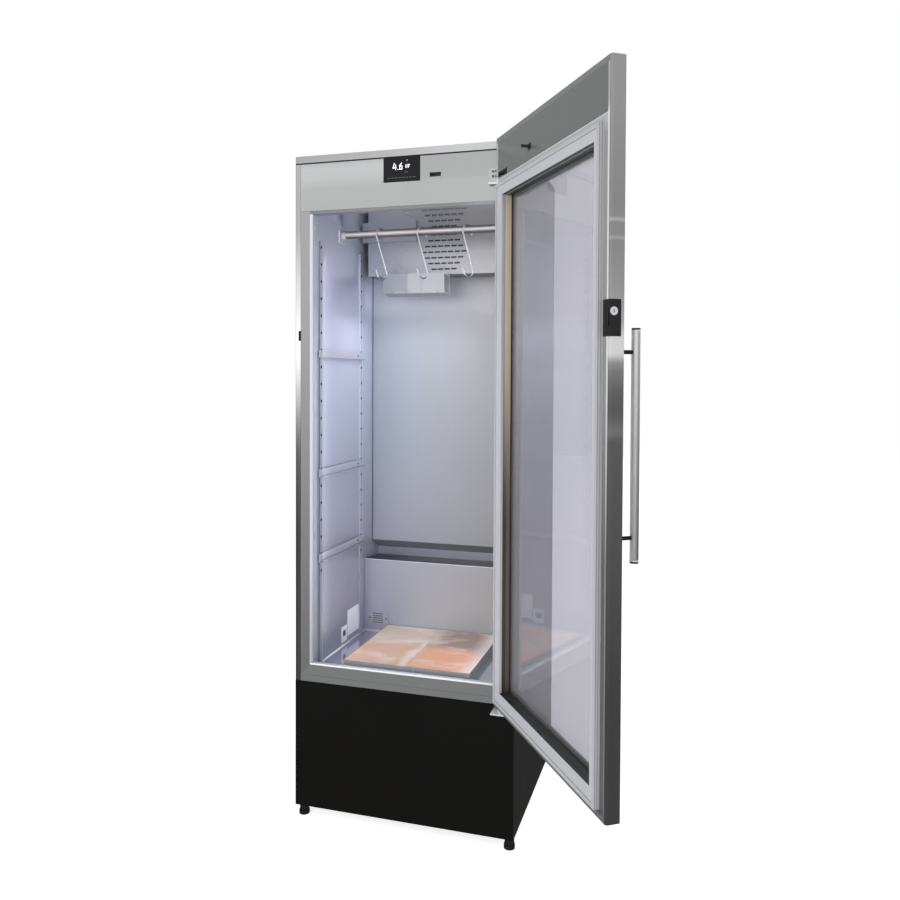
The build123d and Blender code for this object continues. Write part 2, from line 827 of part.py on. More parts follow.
def salt_blocks():
    x0 = tray_left + tray_sheet + salt_joint
    y0 = tray_front_y + tray_sheet + salt_joint
    width = (tray_width - 2 * tray_sheet - 3 * salt_joint) / 2
    depth = (tray_depth - 2 * tray_sheet - 3 * salt_joint) / 2
    z = floor_z + seat + tray_sheet
    blocks = []
    for i in range(2):
        for j in range(2):
            x = x0 + i * (width + salt_joint)
            y = y0 + j * (depth + salt_joint)
            brick = block((x, x + width), (y, y + depth), (z, z + salt_block_height))
            blocks.append(chamfer(brick.faces().sort_by(Axis.Z)[-1].edges(), salt_joint))
    return blocks


# Controls
def display():
    """Black control panel with rounded lower corners and a recessed screen."""
    x = (display_left, display_left + display_width)
    z = (lid_bottom - display_height, body_top)
    panel = block(x, (-display_proud, display_depth), z)
    lower = [e for e in panel.edges().filter_by(Axis.Y) if e.center().Z < z[0] + seat]
    panel = fillet(lower, display_radius)
    screen = block((x[0] + screen_margin, x[1] - screen_margin), (-display_proud - overrun,
                   -display_proud + screen_recess), (z[0] + screen_margin, z[1] - screen_margin))
    return panel - screen


def door_switch():
    """Box behind the slot in the header that the door's finger enters."""
    x = (switch_slot_left - switch_wall, switch_slot_left + switch_slot_width + switch_wall)
    z = (switch_slot_bottom - switch_wall, switch_slot_bottom + switch_slot_height + switch_wall)
    box = block(x, (skin, skin + switch_depth), z)
    return box - block((x[0] + switch_wall, x[1] - switch_wall), (skin - overrun,
                       skin + switch_depth - switch_wall), (z[0] + switch_wall, z[1] - switch_wall))


# Base
def base_front():
    """Front panel of the base, wrapped round both corners, slotted for the bottom hinge."""
    z = (base_bottom, base_top)
    outer = block((-half_width, half_width), (-base_proud, base_wrap), z)
    for x in (-half_width, half_width):
        outer = fillet(vertical_edges(outer, x, -base_proud), return_radius)
    inner = block((-half_width + base_sheet, half_width - base_sheet),
                  (-base_proud + base_sheet, base_wrap + overrun), (z[0] - overrun, z[1] + overrun))
    hinge_slot = block((bottom_plate_left - seat, half_width + overrun), (-base_proud - overrun, seat),
                       (bottom_plate_top - bottom_plate_sheet - seat, bottom_plate_top + seat))
    return outer - inner - hinge_slot


def base_side():
    return block((-half_width, -half_width + base_sheet), (base_wrap + seam, cabinet_depth - base_sheet),
                 (base_bottom, base_top))


def base_grille():
    """Rear panel of the base with a row of tall air slots and the inlet's cut-out."""
    y = (cabinet_depth - base_sheet, cabinet_depth)
    panel = block((-half_width, half_width), y, (base_bottom, base_top))
    for i in range(grille_slot_count):
        x = (i - (grille_slot_count - 1) / 2) * grille_slot_pitch
        panel -= block((x - grille_slot_width / 2, x + grille_slot_width / 2),
                       (y[0] - overrun, y[1] + overrun),
                       (grille_slot_z, grille_slot_z + grille_slot_height))
    return panel - block((inlet_x - inlet_width / 2, inlet_x + inlet_width / 2),
                         (y[0] - overrun, y[1] + overrun),
                         (inlet_z - inlet_height / 2, inlet_z + inlet_height / 2))


def power_inlet():
    """Mains inlet: a flanged block with an open socket at the back."""
    x = inlet_width / 2
    z = inlet_height / 2
    body = block((inlet_x - x, inlet_x + x), (cabinet_depth - inlet_depth, cabinet_depth),
                 (inlet_z - z, inlet_z + z))
    flange = block((inlet_x - x - inlet_flange, inlet_x + x + inlet_flange),
                   (cabinet_depth, cabinet_depth + inlet_flange),
                   (inlet_z - z - inlet_flange, inlet_z + z + inlet_flange))
    socket = block((inlet_x - x + inlet_socket_margin, inlet_x + x - inlet_socket_margin),
                   (cabinet_depth - inlet_socket_depth, cabinet_depth + overrun),
                   (inlet_z - z + inlet_socket_margin, inlet_z + z - inlet_socket_margin))
    return body + flange - socket


foot_back_y = cabinet_depth - foot_back_inset
foot_places = {"front_left": (-foot_x, foot_front_y), "front_right": (foot_x, foot_front_y),
               "back_left": (-foot_x, foot_back_y), "back_right": (foot_x, foot_back_y)}


def base_plate():
    """Floor plate of the base with the feet's threaded nuts standing on it."""
    inside = half_width - base_sheet
    plate_top = base_bottom + plate_sheet
    plate = block((-inside, inside), (0, cabinet_depth - base_sheet), (base_bottom, plate_top))
    nut_top = plate_top + foot_nut_height
    for x, y in foot_places.values():
        plate += rod(foot_nut_radius, (x, y, base_bottom + plate_sheet / 2), nut_top, 2)
    for x, y in foot_places.values():
        plate -= rod(foot_stem_radius + thread_clearance, (x, y, base_bottom - overrun),
                     nut_top + overrun, 2)
    return plate


def deck_plate():
    """Plate under the insulated body that closes the base."""
    inside = half_width - base_sheet
    return block((-inside, inside), (bottom_plate_sheet + seam, cabinet_depth - base_sheet),
                 (base_top - plate_sheet, base_top))


def levelling_foot(x, y):
    """Round foot with a threaded stem."""
    pad = rod(foot_radius, (x, y, 0), foot_pad_height, 2)
    neck = rod(foot_neck_radius, (x, y, foot_pad_height), base_bottom - seat, 2)
    stem = rod(foot_stem_radius, (x, y, base_bottom - seat), base_bottom - seat + foot_stem_length, 2)
    return pad + neck + stem


machine_floor = base_bottom + plate_sheet


def compressor():
    """Hermetic pot on a mounting plate."""
    top = machine_floor + compressor_foot + compressor_height
    pot = rod(compressor_radius, (compressor_x, compressor_y, machine_floor + compressor_foot), top, 2)
    pot = fillet(pot.edges().filter_by(GeomType.CIRCLE).sort_by(Axis.Z)[-1], compressor_crown)
    inside = rod(compressor_radius - compressor_wall,
                 (compressor_x, compressor_y, machine_floor + compressor_foot + compressor_wall),
                 top - compressor_wall, 2)
    inside = fillet(inside.edges().filter_by(GeomType.CIRCLE).sort_by(Axis.Z)[-1],
                    compressor_crown - compressor_wall)
    core = rod(compressor_core_radius, (compressor_x, compressor_y, machine_floor + compressor_foot),
               machine_floor + compressor_foot + compressor_core_height, 2)
    pot = pot - inside + core
    feet = block((compressor_x - compressor_radius, compressor_x + compressor_radius),
                 (compressor_y - compressor_radius, compressor_y + compressor_radius),
                 (machine_floor, machine_floor + compressor_foot))
    return pot + feet


condenser_x = (condenser_left + condenser_right) / 2
condenser_z = machine_floor + condenser_base + condenser_height / 2
shroud_y = condenser_y + condenser_depth
condenser_fan_y = shroud_y + shroud_sheet
condenser_motor_y = condenser_fan_y + condenser_fan_depth + seat


def condenser():
    """Fin block on a pair of feet."""
    top = machine_floor + condenser_base + condenser_height
    fins = fin_block((condenser_left, condenser_right), (condenser_y, condenser_y + condenser_depth),
                     (machine_floor + condenser_base, top), condenser_tube_rows)
    for x in (condenser_left, condenser_right - condenser_bracket_foot):
        fins += block((x, x + condenser_bracket_foot), (condenser_y, condenser_y + condenser_depth),
                      (machine_floor, machine_floor + condenser_base))
    return fins


def condenser_shroud():
    """Ring plate behind the fins and the motor's strap behind the fan."""
    z = (condenser_z - condenser_height / 2, condenser_z + condenser_height / 2)
    y = (shroud_y, shroud_y + shroud_sheet)
    plate = block((condenser_left, condenser_right), y, z)
    hole = rod(condenser_fan_radius + condenser_fan_gap, (condenser_x, y[0] - overrun, condenser_z),
               y[1] + overrun, 1)
    back = condenser_motor_y + condenser_motor_length
    motor = rod(condenser_motor_radius, (condenser_x, condenser_motor_y, condenser_z), back, 1)
    shaft = rod(motor_shaft_radius, (condenser_x, condenser_fan_y + condenser_fan_depth / 3 + seat,
                                     condenser_z), back, 1)
    strap = block((condenser_x - condenser_bracket_width / 2, condenser_x + condenser_bracket_width / 2),
                  (back, back + condenser_bracket_sheet), (machine_floor, condenser_z))
    toe = block((condenser_x - condenser_bracket_width / 2, condenser_x + condenser_bracket_width / 2),
                (back, back + condenser_bracket_foot),
                (machine_floor, machine_floor + condenser_bracket_sheet))
    return plate - hole, motor + shaft + strap + toe


def condenser_fan():
    return fan(condenser_fan_radius, condenser_fan_hub, condenser_fan_depth, condenser_fan_y,
               condenser_x, condenser_z, motor_shaft_radius + shaft_clearance)


def drip_pan():
    """Open pan on the machine floor that catches meltwater."""
    x = (pan_x - pan_width / 2, pan_x + pan_width / 2)
    y = (pan_y, pan_y + pan_depth)
    z = (machine_floor, machine_floor + pan_height)
    return block(x, y, z) - block((x[0] + pan_sheet, x[1] - pan_sheet), (y[0] + pan_sheet, y[1] - pan_sheet),
                                  (z[0] + pan_sheet, z[1] + overrun))


# Hinges
def top_hinge():
    """Plate on the header with a lower flange, an arm to the pivot and the pin under it."""
    plate = block((top_plate_left, top_plate_right), (-top_plate_sheet, 0),
                  (top_plate_bottom, top_plate_top))
    flange = block((top_plate_left, top_flange_right), (-top_flange_reach, 0),
                   (top_plate_bottom, top_plate_bottom + top_flange_sheet))
    z = (arm_bottom, arm_bottom + arm_sheet)
    eye = rod(arm_end_radius, (pivot_x, pivot_y, z[0]), z[1], 2)
    outline = Polyline((arm_left, 0), (arm_right, 0), (pivot_x + arm_end_radius / 2, pivot_y),
                       (pivot_x - arm_end_radius, pivot_y), close=True)
    arm = Pos(0, 0, z[0]) * extrude(make_face(outline), arm_sheet)
    pin = rod(hinge_pin_radius, (pivot_x, pivot_y, z[0] - top_pin_length), z[1], 2)
    return plate + flange + eye + arm + pin


def bottom_hinge():
    """Angle whose leg is bolted behind the base front and whose plate carries the lower pin."""
    z = (bottom_plate_top - bottom_plate_sheet, bottom_plate_top)
    plate = block((bottom_plate_left, half_width), (-bottom_plate_reach, 0), z)
    root = block((bottom_plate_left, bottom_leg_right), (0, bottom_plate_sheet), z)
    leg = block((bottom_plate_left, bottom_leg_right), (0, bottom_plate_sheet),
                (z[0] - bottom_leg_height, z[0]))
    collar = rod(bottom_collar_radius, (pivot_x, pivot_y, z[1]), door_bottom - seat, 2)
    pin = rod(hinge_pin_radius, (pivot_x, pivot_y, z[0]), door_bottom + bottom_pin_length, 2)
    return plate + root + leg + collar + pin


def hinge_pocket():
    """Space in the door that the top arm sweeps: a slot inside, a low notch at the edge."""
    low = hinge_pocket_bottom
    slot = block((hinge_pocket_left, hinge_notch_left), (door_outer_y + skin + seat, door_inner_y + overrun),
                 (low, low + hinge_pocket_height))
    notch = block((hinge_notch_left - overrun, door_right + overrun),
                  (door_inner_y - hinge_notch_depth, door_inner_y + overrun),
                  (low, low + hinge_notch_height))
    inside = block((hinge_notch_left - overrun, door_right - skin - seat),
                   (door_outer_y + skin + seat, door_inner_y - skin - seat),
                   (low, low + hinge_pocket_height))
    return slot + notch + inside


def hinge_bushes():
    """Bearing blocks in the door round the lower and the upper pin."""
    bore = hinge_pin_radius + hinge_clearance
    lower = rod(bush_radius, (pivot_x, pivot_y, door_bottom), door_bottom + bottom_pin_length + seat, 2)
    lower -= rod(bore, (pivot_x, pivot_y, door_bottom - overrun),
                 door_bottom + bottom_pin_length + seat + overrun, 2)
    foot = arm_bottom - top_pin_length - seat
    upper = rod(bush_radius, (pivot_x, pivot_y, foot), hinge_pocket_bottom, 2)
    upper -= rod(bore, (pivot_x, pivot_y, foot - overrun), hinge_pocket_bottom + overrun, 2)
    return lower, upper


def bush_cuts():
    lower = rod(bush_radius, (pivot_x, pivot_y, door_bottom - overrun),
                door_bottom + bottom_pin_length + seat, 2)
    foot = arm_bottom - top_pin_length - seat
    upper = rod(bush_radius, (pivot_x, pivot_y, foot), hinge_pocket_bottom + seat, 2)
    return lower + upper


# Door
def lock_cut():
    """Corner of the door that the lock housing takes up."""
    return block((door_left - overrun, lock_inner_x), (door_inner_y - lock_depth, door_inner_y + overrun),
                 (lock_bottom, lock_bottom + lock_height))


def door_skin():
    """Folded outer pan of the door with its window and its inward flanges."""
    x = (door_left, door_right)
    y = (door_outer_y, door_inner_y)
    z = (door_bottom, door_top)
    pan = block(x, y, z)
    for corner in x:
        pan = fillet(vertical_edges(pan, corner, door_outer_y), door_outer_radius)
    pan = fillet(vertical_edges(pan, door_left, door_inner_y), door_fold_radius)
    hollow = block((x[0] + skin, x[1] - skin), (y[0] + skin, y[1] - skin), (z[0] + skin, z[1] - skin))
    hollow = fillet(vertical_edges(hollow, door_left + skin, door_inner_y - skin), door_fold_radius - skin)
    mouth = block((x[0] + door_flange, x[1] - door_flange), (y[1] - skin - overrun, y[1] + overrun),
                  (z[0] + door_flange, z[1] - door_flange))
    window = block((window_left, window_right), (y[0] - overrun, y[1] + overrun),
                   (window_bottom, window_top))
    return pan - hollow - mouth - window - hinge_pocket() - bush_cuts() - lock_cut()


def inner_sheet():
    """Flat inner sheet of the door, in a main part round the window and a head strip."""
    x = (door_left + door_flange, door_right - door_flange)
    y = (door_inner_y - skin, door_inner_y)
    window = block((window_left, window_right), (y[0] - overrun, y[1] + overrun),
                   (window_bottom, window_top))
    cuts = hinge_pocket() + lock_cut()
    main = block(x, y, (door_bottom + door_flange, head_line_z)) - window - cuts
    head = block(x, y, (head_line_z + head_line, door_top - door_flange)) - cuts
    return main, head


def door_foam():
    """Insulation in the door: four bars round the window."""
    x = (door_left + skin, door_right - skin)
    y = (door_outer_y + skin, door_inner_y - skin)
    z = (door_bottom + skin, door_top - skin)
    cuts = hinge_pocket() + bush_cuts() + lock_cut()
    low = block(x, y, (z[0], window_bottom))
    high = block(x, y, (window_top, z[1]))
    free = block((x[0], window_left), y, (window_bottom, window_top))
    free_corner = block((x[0] - overrun, x[0] + door_fold_radius - skin),
                        (y[1] - door_fold_radius + skin, y[1] + overrun), (z[0] - overrun, z[1] + overrun))
    hinge = block((window_right, x[1]), y, (window_bottom, window_top))
    return low - cuts - free_corner, high - cuts - free_corner, free - cuts - free_corner, hinge - cuts


def window_frame():
    """Raised frame on the inner sheet round the window, and the reveal that lines it."""
    outer = block((-window_frame_outer, window_frame_outer), (door_inner_y, door_inner_y + window_frame_rise),
                  (frame_bottom + gasket_width + seam, frame_top - gasket_width - seam))
    hole = block((window_left, window_right),
                 (door_inner_y - overrun, door_inner_y + window_frame_rise + overrun),
                 (window_bottom, window_top))
    return outer - hole


def reveal():
    """Thin lining of the window opening from the inner sheet to the glass."""
    y = (pane_inner_y, door_inner_y)
    hole_y = (y[0] - overrun, y[1] + overrun)
    outer = block((window_left, window_right), y, (window_bottom, window_top))
    inner = block((window_left + skin, window_right - skin), hole_y,
                  (window_bottom + skin, window_top - skin))
    return outer - inner


def glass_panes():
    """Double glazing: an inner and an outer pane."""
    x = (window_left, window_right)
    z = (window_bottom, window_top)
    inner = block(x, (pane_inner_y - pane_thickness, pane_inner_y), z)
    outer_face = door_outer_y + skin
    outer = block(x, (outer_face, outer_face + pane_thickness), z)
    return inner, outer


def pane_spacer():
    """Dark bar between the panes, all round."""
    y = (door_outer_y + skin + pane_thickness, pane_inner_y - pane_thickness)
    outer = block((window_left, window_right), y, (window_bottom, window_top))
    inner = block((window_left + pane_seat, window_right - pane_seat), (y[0] - overrun, y[1] + overrun),
                  (window_bottom + pane_seat, window_top - pane_seat))
    return outer - inner


def gasket():
    """Hollow magnetic gasket round the window frame; its face all but meets the cabinet."""
    y = (door_inner_y, door_inner_y + gasket_rise)
    edge = frame_outer
    outer = block((-edge, edge), y, (frame_bottom, frame_top))
    inner_edge = edge - gasket_width
    hole = block((-inner_edge, inner_edge), (y[0] - overrun, y[1] + overrun),
                 (frame_bottom + gasket_width, frame_top - gasket_width))
    return outer - hole


# Handle
def handle_tube():
    y = door_outer_y - handle_standout
    tube = rod(handle_diameter / 2, (handle_x, y, handle_bottom + handle_cap),
               handle_bottom + handle_length - handle_cap, 2)
    tube -= rod(handle_diameter / 2 - handle_wall, (handle_x, y, handle_bottom - overrun),
                handle_bottom + handle_length + overrun, 2)
    return tube


def handle_fittings():
    """End caps and the two standoffs with their collars."""
    y = door_outer_y - handle_standout
    top = handle_bottom + handle_length
    pieces = [rod(handle_diameter / 2, (handle_x, y, handle_bottom), handle_bottom + handle_cap, 2),
              rod(handle_diameter / 2, (handle_x, y, top - handle_cap), top, 2)]
    for z in (handle_bottom + standoff_rise_bottom, top - standoff_drop_top):
        post = rod(standoff_diameter / 2, (handle_x, y + handle_diameter / 2 - handle_wall / 2, z),
                   door_outer_y, 1)
        collar = rod(standoff_collar_radius, (handle_x, door_outer_y - standoff_collar, z), door_outer_y, 1)
        tube = rod(handle_diameter / 2, (handle_x, y, z - 2 * handle_diameter),
                   z + 2 * handle_diameter, 2)
        pieces.append(post + collar - tube)
    return pieces


# Lock
def lock_plug_solid(extra):
    """Plug and cam of the lock, grown by a clearance when it serves as a cut."""
    face = door_left - lock_plug_proud
    plug = rod(lock_plug_radius + extra, (face, lock_axis_y, lock_axis_z),
               face + lock_plug_proud + lock_plug_length + extra, 0)
    return plug


def lock_housing():
    """Lock case that wraps the door's free corner, bored for the plug and slotted for the cam."""
    case = block((door_left - lock_proud, lock_inner_x),
                 (door_inner_y - lock_depth, door_inner_y + lock_proud),
                 (lock_bottom, lock_bottom + lock_height))
    case = fillet(vertical_edges(case, door_left - lock_proud, door_inner_y + lock_proud), door_outer_radius)
    cam_x = door_left + lock_cam_cover
    sweep_radius = math.hypot(lock_cam_reach, lock_cam_offset)
    slot = block((cam_x - lock_clearance, cam_x + lock_cam_sheet + lock_clearance),
                 (lock_axis_y - lock_cam_offset - 2 * lock_clearance, door_inner_y + overrun),
                 (lock_axis_z - sweep_radius - lock_clearance,
                  lock_axis_z + lock_cam_width - 2 * lock_clearance))
    return case - slot - lock_plug_solid(shaft_clearance)


def lock_plug():
    """Turning plug with a key slot and a cam that swings from down to inward."""
    plug = lock_plug_solid(0)
    face = door_left - lock_plug_proud
    key = block((face - overrun, face + lock_plug_proud), (lock_axis_y - lock_cam_sheet / 4,
                lock_axis_y + lock_cam_sheet / 4), (lock_axis_z - lock_cam_width / 2,
                                                    lock_axis_z + lock_cam_width / 2))
    cam_x = door_left + lock_cam_cover
    root = block((cam_x, cam_x + lock_cam_sheet),
                 (lock_axis_y - lock_cam_offset, lock_axis_y + lock_cam_width / 2),
                 (lock_axis_z - lock_cam_width / 2, lock_axis_z + lock_cam_width / 2))
    arm = block((cam_x, cam_x + lock_cam_sheet),
                (lock_axis_y - lock_cam_offset, lock_axis_y - lock_cam_offset + lock_cam_width),
                (lock_axis_z - lock_cam_reach, lock_axis_z))
    return plug - key + root + arm


def switch_finger():
    """Small plate on the inner sheet with the finger that works the door switch."""
    plate = block((finger_x - finger_plate_width / 2, finger_x + finger_plate_width / 2),
                  (door_inner_y, door_inner_y + finger_plate_sheet),
                  (finger_z - finger_plate_height / 2, finger_z + finger_plate_height / 2))
    finger = block((finger_x - finger_width / 2, finger_x + finger_width / 2),
                   (door_inner_y, finger_reach),
                   (finger_z - finger_height / 2, finger_z + finger_height / 2))
    return plate + finger


# Screws
def screws():
    """Pan heads on the hinge plate and the vent plate, and small heads under the lamp box."""
    heads = []
    for i in (-1, 1):
        for k in (-1, 1):
            x = top_screw_x + i * top_screw_pitch_x / 2
            z = top_screw_z + k * top_screw_pitch_z / 2
            head = rod(screw_head_radius, (x, -top_plate_sheet - screw_head_height, z), -top_plate_sheet, 1)
            heads.append(head)
        x = vent_x + i * vent_screw_pitch / 2
        face = guard_y - vent_plate_sheet
        heads.append(rod(small_head_radius, (x, face - small_head_height, vent_z), face, 1))
        x = (lamp_left + lamp_right) / 2 + i * ((lamp_right - lamp_left) / 2 - lamp_screw_inset)
        screw_foot = (x, lamp_front_y + lamp_screw_inset, lamp_bottom - small_head_height)
        heads.append(rod(small_head_radius, screw_foot, lamp_bottom, 2))
    return heads


def rear_panel():
    return block((-half_width + skin, half_width - skin), (cabinet_depth - skin, cabinet_depth),
                 (base_top + seam, body_top))


os.makedirs("parts", exist_ok=True)

left_side = side_panel()
left_jamb = jamb()
save("side_panel_left", left_side - keeper_cut())
save("side_panel_right", mirrored(left_side))
save("top_lid", top_lid())
save("rear_panel", rear_panel())
save("header_fascia", header_fascia())
save("jambs", left_jamb - keeper_cut(), mirrored(left_jamb))
save("sill", sill())
save("lower_rail", lower_rail())
save("breaker_frame", breaker_frame())
save("foam", *foam())
save("liner", *liner())
save("floor_pan", floor_pan())

standards = [shelf_standard(y) for y in (standard_front_y, standard_back_y)]
supports = [shelf_support(i) for i in support_slots]
save("shelf_standards", *standards, *[mirrored(s) for s in standards])
save("shelf_supports", *supports, *[mirrored(s) for s in supports])
save("false_back", false_back())
save("guard_panel", guard_panel())
save("vent_plate", vent_plate())

save("evaporator_cover", evaporator_cover())
save("evaporator_coil", evaporator_coil())
save("evaporator_motor", evaporator_motor())
save("evaporator_fan", evaporator_fan())
save("lamp_boxes", lamp_box(), conduit_box())

save("hanging_rail", hanging_rail())
save("rail_brackets", rail_bracket(), mirrored(rail_bracket()))
for number, place in enumerate(hook_places):
    save("hook_" + str(number + 1), s_hook(place))

save("salt_tray", salt_tray())
save("salt_blocks", *salt_blocks())

save("display", display())
save("door_switch", door_switch())
save("power_inlet", power_inlet())

save("base_shell", base_front(), base_side(), mirrored(base_side()))
save("base_grille", base_grille())
save("base_plates", base_plate(), deck_plate())
for name, place in foot_places.items():
    save("foot_" + name, levelling_foot(*place))
save("compressor", compressor())
save("condenser", condenser())
save("condenser_shroud", *condenser_shroud())
save("condenser_fan", condenser_fan())
save("drip_pan", drip_pan())

save("top_hinge", top_hinge())
save("bottom_hinge", bottom_hinge())
save("screws", *screws())

save("door_skin", opened(door_skin()))
save("door_inner_sheet", *[opened(s) for s in inner_sheet()])
save("door_foam", *[opened(s) for s in door_foam()])
save("window_frame", opened(window_frame()))
save("window_reveal", opened(reveal()), opened(pane_spacer()))
save("glass_panes", *[opened(s) for s in glass_panes()])
save("door_gasket", opened(gasket()))
save("hinge_bushes", *[opened(s) for s in hinge_bushes()])
save("handle_tube", opened(handle_tube()))
save("handle_fittings", *[opened(s) for s in handle_fittings()])
save("lock_housing", opened(lock_housing()))
save("lock_plug", opened(lock_plug()))
save("switch_finger", opened(switch_finger()))
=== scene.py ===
import math

import bmesh
import bpy
import numpy as np
from mathutils import Matrix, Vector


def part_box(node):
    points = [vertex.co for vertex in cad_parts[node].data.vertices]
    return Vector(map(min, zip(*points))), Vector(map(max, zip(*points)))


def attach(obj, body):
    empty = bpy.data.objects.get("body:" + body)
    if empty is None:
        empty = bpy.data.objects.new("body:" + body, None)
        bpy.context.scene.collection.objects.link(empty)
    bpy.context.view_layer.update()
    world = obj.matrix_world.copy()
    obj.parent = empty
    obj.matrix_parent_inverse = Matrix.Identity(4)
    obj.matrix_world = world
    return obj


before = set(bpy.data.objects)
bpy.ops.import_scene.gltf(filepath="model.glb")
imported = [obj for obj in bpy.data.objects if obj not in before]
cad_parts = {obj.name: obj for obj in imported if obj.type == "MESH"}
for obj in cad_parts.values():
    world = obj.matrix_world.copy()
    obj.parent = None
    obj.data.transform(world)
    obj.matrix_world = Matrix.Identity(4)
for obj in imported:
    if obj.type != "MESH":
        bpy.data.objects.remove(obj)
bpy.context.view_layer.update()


# ---------------------------------------------------------------- Camera
# A camera at chest height, to the right of the cabinet, that looks a little to the left.
# Its place, turn and lens come from the photograph's own perspective.

picture_side = 900
picture_shift = -57.55
standpoint = (0.8622, -2.3378, 1.3903)
yaw, pitch, roll = math.radians(16.888), math.radians(1.262), math.radians(0.237)
camera_data = bpy.data.cameras.new("camera")
camera_data.lens = 33.31
camera_data.sensor_width = 36.0
camera_data.shift_y = picture_shift / picture_side
camera_data.clip_start = 0.05
camera_data.clip_end = 60.0
camera = bpy.data.objects.new("camera", camera_data)
bpy.context.scene.collection.objects.link(camera)
level_right = np.array([math.cos(yaw), math.sin(yaw), 0.0])
level_ahead = np.array([-math.sin(yaw), math.cos(yaw), 0.0])
upright = np.array([0.0, 0.0, 1.0])
ahead = level_ahead * math.cos(pitch) - upright * math.sin(pitch)
above = upright * math.cos(pitch) + level_ahead * math.sin(pitch)
aside = level_right * math.cos(roll) + above * math.sin(roll)
above = above * math.cos(roll) - level_right * math.sin(roll)
turned = np.eye(4)
turned[:3, 0], turned[:3, 1], turned[:3, 2], turned[:3, 3] = aside, above, -ahead, standpoint
camera.matrix_world = Matrix(turned.tolist())
bpy.context.scene.camera = camera
bpy.context.scene.view_settings.view_transform = "Standard"


# ---------------------------------------------------------------- Studio
# A plain pale floor, an evenly white surround and large soft lamps, as for a catalogue picture.
# Steel mirrors a surround that is brightest at eye level in front of the cabinet, and darker below,
# above and to the sides, which is what gives it its shading.


def new_material(name):
    """An empty node material with its Principled shader on the output."""
    made = bpy.data.materials.new(name)
    made.use_nodes = True
    return made, made.node_tree, made.node_tree.nodes["Principled BSDF"]


def wire(tree, kind, inputs=None, **settings):
    """Adds a node, sets its properties, and sets or links its inputs by name or number."""
    node = tree.nodes.new(kind)
    for key, value in settings.items():
        setattr(node, key, value)
    for key, value in (inputs or {}).items():
        if isinstance(value, bpy.types.NodeSocket):
            tree.links.new(value, node.inputs[key])
        else:
            node.inputs[key].default_value = value
    return node


def maths(tree, operation, *values):
    """One step of arithmetic on numbers or sockets."""
    return wire(tree, "ShaderNodeMath", dict(enumerate(values)), operation=operation).outputs[0]


def mapped(tree, value, low, high, start=0.0, end=1.0, **settings):
    """A value carried from the range low to high to the range start to end, and held at both ends."""
    inputs = {0: value, 1: low, 2: high, 3: start, 4: end}
    return wire(tree, "ShaderNodeMapRange", inputs, **settings).outputs[0]


def colour_ramp(tree, value, stops):
    """A colour that runs straight from stop to stop as a value rises. A stop is a value and its colour,
    or one number for a grey."""
    low, high = stops[0][0], stops[-1][0]
    ramp = wire(tree, "ShaderNodeValToRGB", {0: mapped(tree, value, low, high)})
    for at, _ in stops[1:-1]:
        ramp.color_ramp.elements.new((at - low) / (high - low))
    for band, (at, colour) in zip(ramp.color_ramp.elements, stops):
        band.position = (at - low) / (high - low)
        band.color = (*(colour if isinstance(colour, tuple) else (colour,) * 3), 1)
    return ramp.outputs[0]


def new_piece(name, points, faces, smooth=False):
    """A mesh object from points and faces, with its place in its mesh and its faces outwards."""
    mesh = bpy.data.meshes.new(name)
    corners = faces.tolist() if isinstance(faces, np.ndarray) else faces
    mesh.from_pydata(np.asarray(points, float).tolist(), [], corners)
    shape = bmesh.new()
    shape.from_mesh(mesh)
    bmesh.ops.recalc_face_normals(shape, faces=shape.faces)
    shape.to_mesh(mesh)
    shape.free()
    mesh.polygons.foreach_set("use_smooth", [smooth] * len(mesh.polygons))
    mesh.update()
    made = bpy.data.objects.new(name, mesh)
    bpy.context.scene.collection.objects.link(made)
    return made


floor_paint, tree, shader = new_material("floor_paint")
shader.inputs["Base Color"].default_value = (0.9, 0.9, 0.9, 1)
shader.inputs["Roughness"].default_value = 0.9
shader.inputs["Emission Color"].default_value = (1, 1, 1, 1)
shader.inputs["Emission Strength"].default_value = 0.8
floor_low, floor_high = (-9, -9), (9, 12)
floor_corners = [(*floor_low, 0), (floor_high[0], floor_low[1], 0), (*floor_high, 0),
                 (floor_low[0], floor_high[1], 0)]
floor = new_piece("studio_floor", floor_corners, [(0, 1, 2, 3)])
floor.data.materials.append(floor_paint)
floor.visible_glossy = False

# Brightness by the height of a direction, from straight down to straight up.
bands = [(-1.0, 0.05), (-0.34, 0.1), (-0.16, 0.16), (-0.05, 0.3), (0.0, 1.1), (0.06, 1.7), (0.12, 1.5),
         (0.18, 0.86), (0.4, 0.7), (1.0, 0.5)]
surround = bpy.data.worlds.new("surround")
bpy.context.scene.world = surround
surround.use_nodes = True
tree = surround.node_tree
tree.nodes.clear()
place = wire(tree, "ShaderNodeTexCoord")
split = wire(tree, "ShaderNodeSeparateXYZ", {0: place.outputs["Generated"]})
tone = colour_ramp(tree, split.outputs["Z"], [(rise, (grey, grey, grey * 1.02)) for rise, grey in bands])
fade = mapped(tree, split.outputs["Y"], -0.85, -0.35, 1.0, 0.42)
mirrored = wire(tree, "ShaderNodeBackground", {0: tone, 1: fade})
plain = wire(tree, "ShaderNodeBackground", {0: (1, 1, 1, 1), 1: 1.0})
ray = wire(tree, "ShaderNodeLightPath")
direct = maths(tree, "MAXIMUM", ray.outputs["Is Camera Ray"], ray.outputs["Is Transmission Ray"])
both = wire(tree, "ShaderNodeMixShader", {0: direct, 1: mirrored.outputs[0], 2: plain.outputs[0]})
wire(tree, "ShaderNodeOutputWorld", {0: both.outputs[0]})


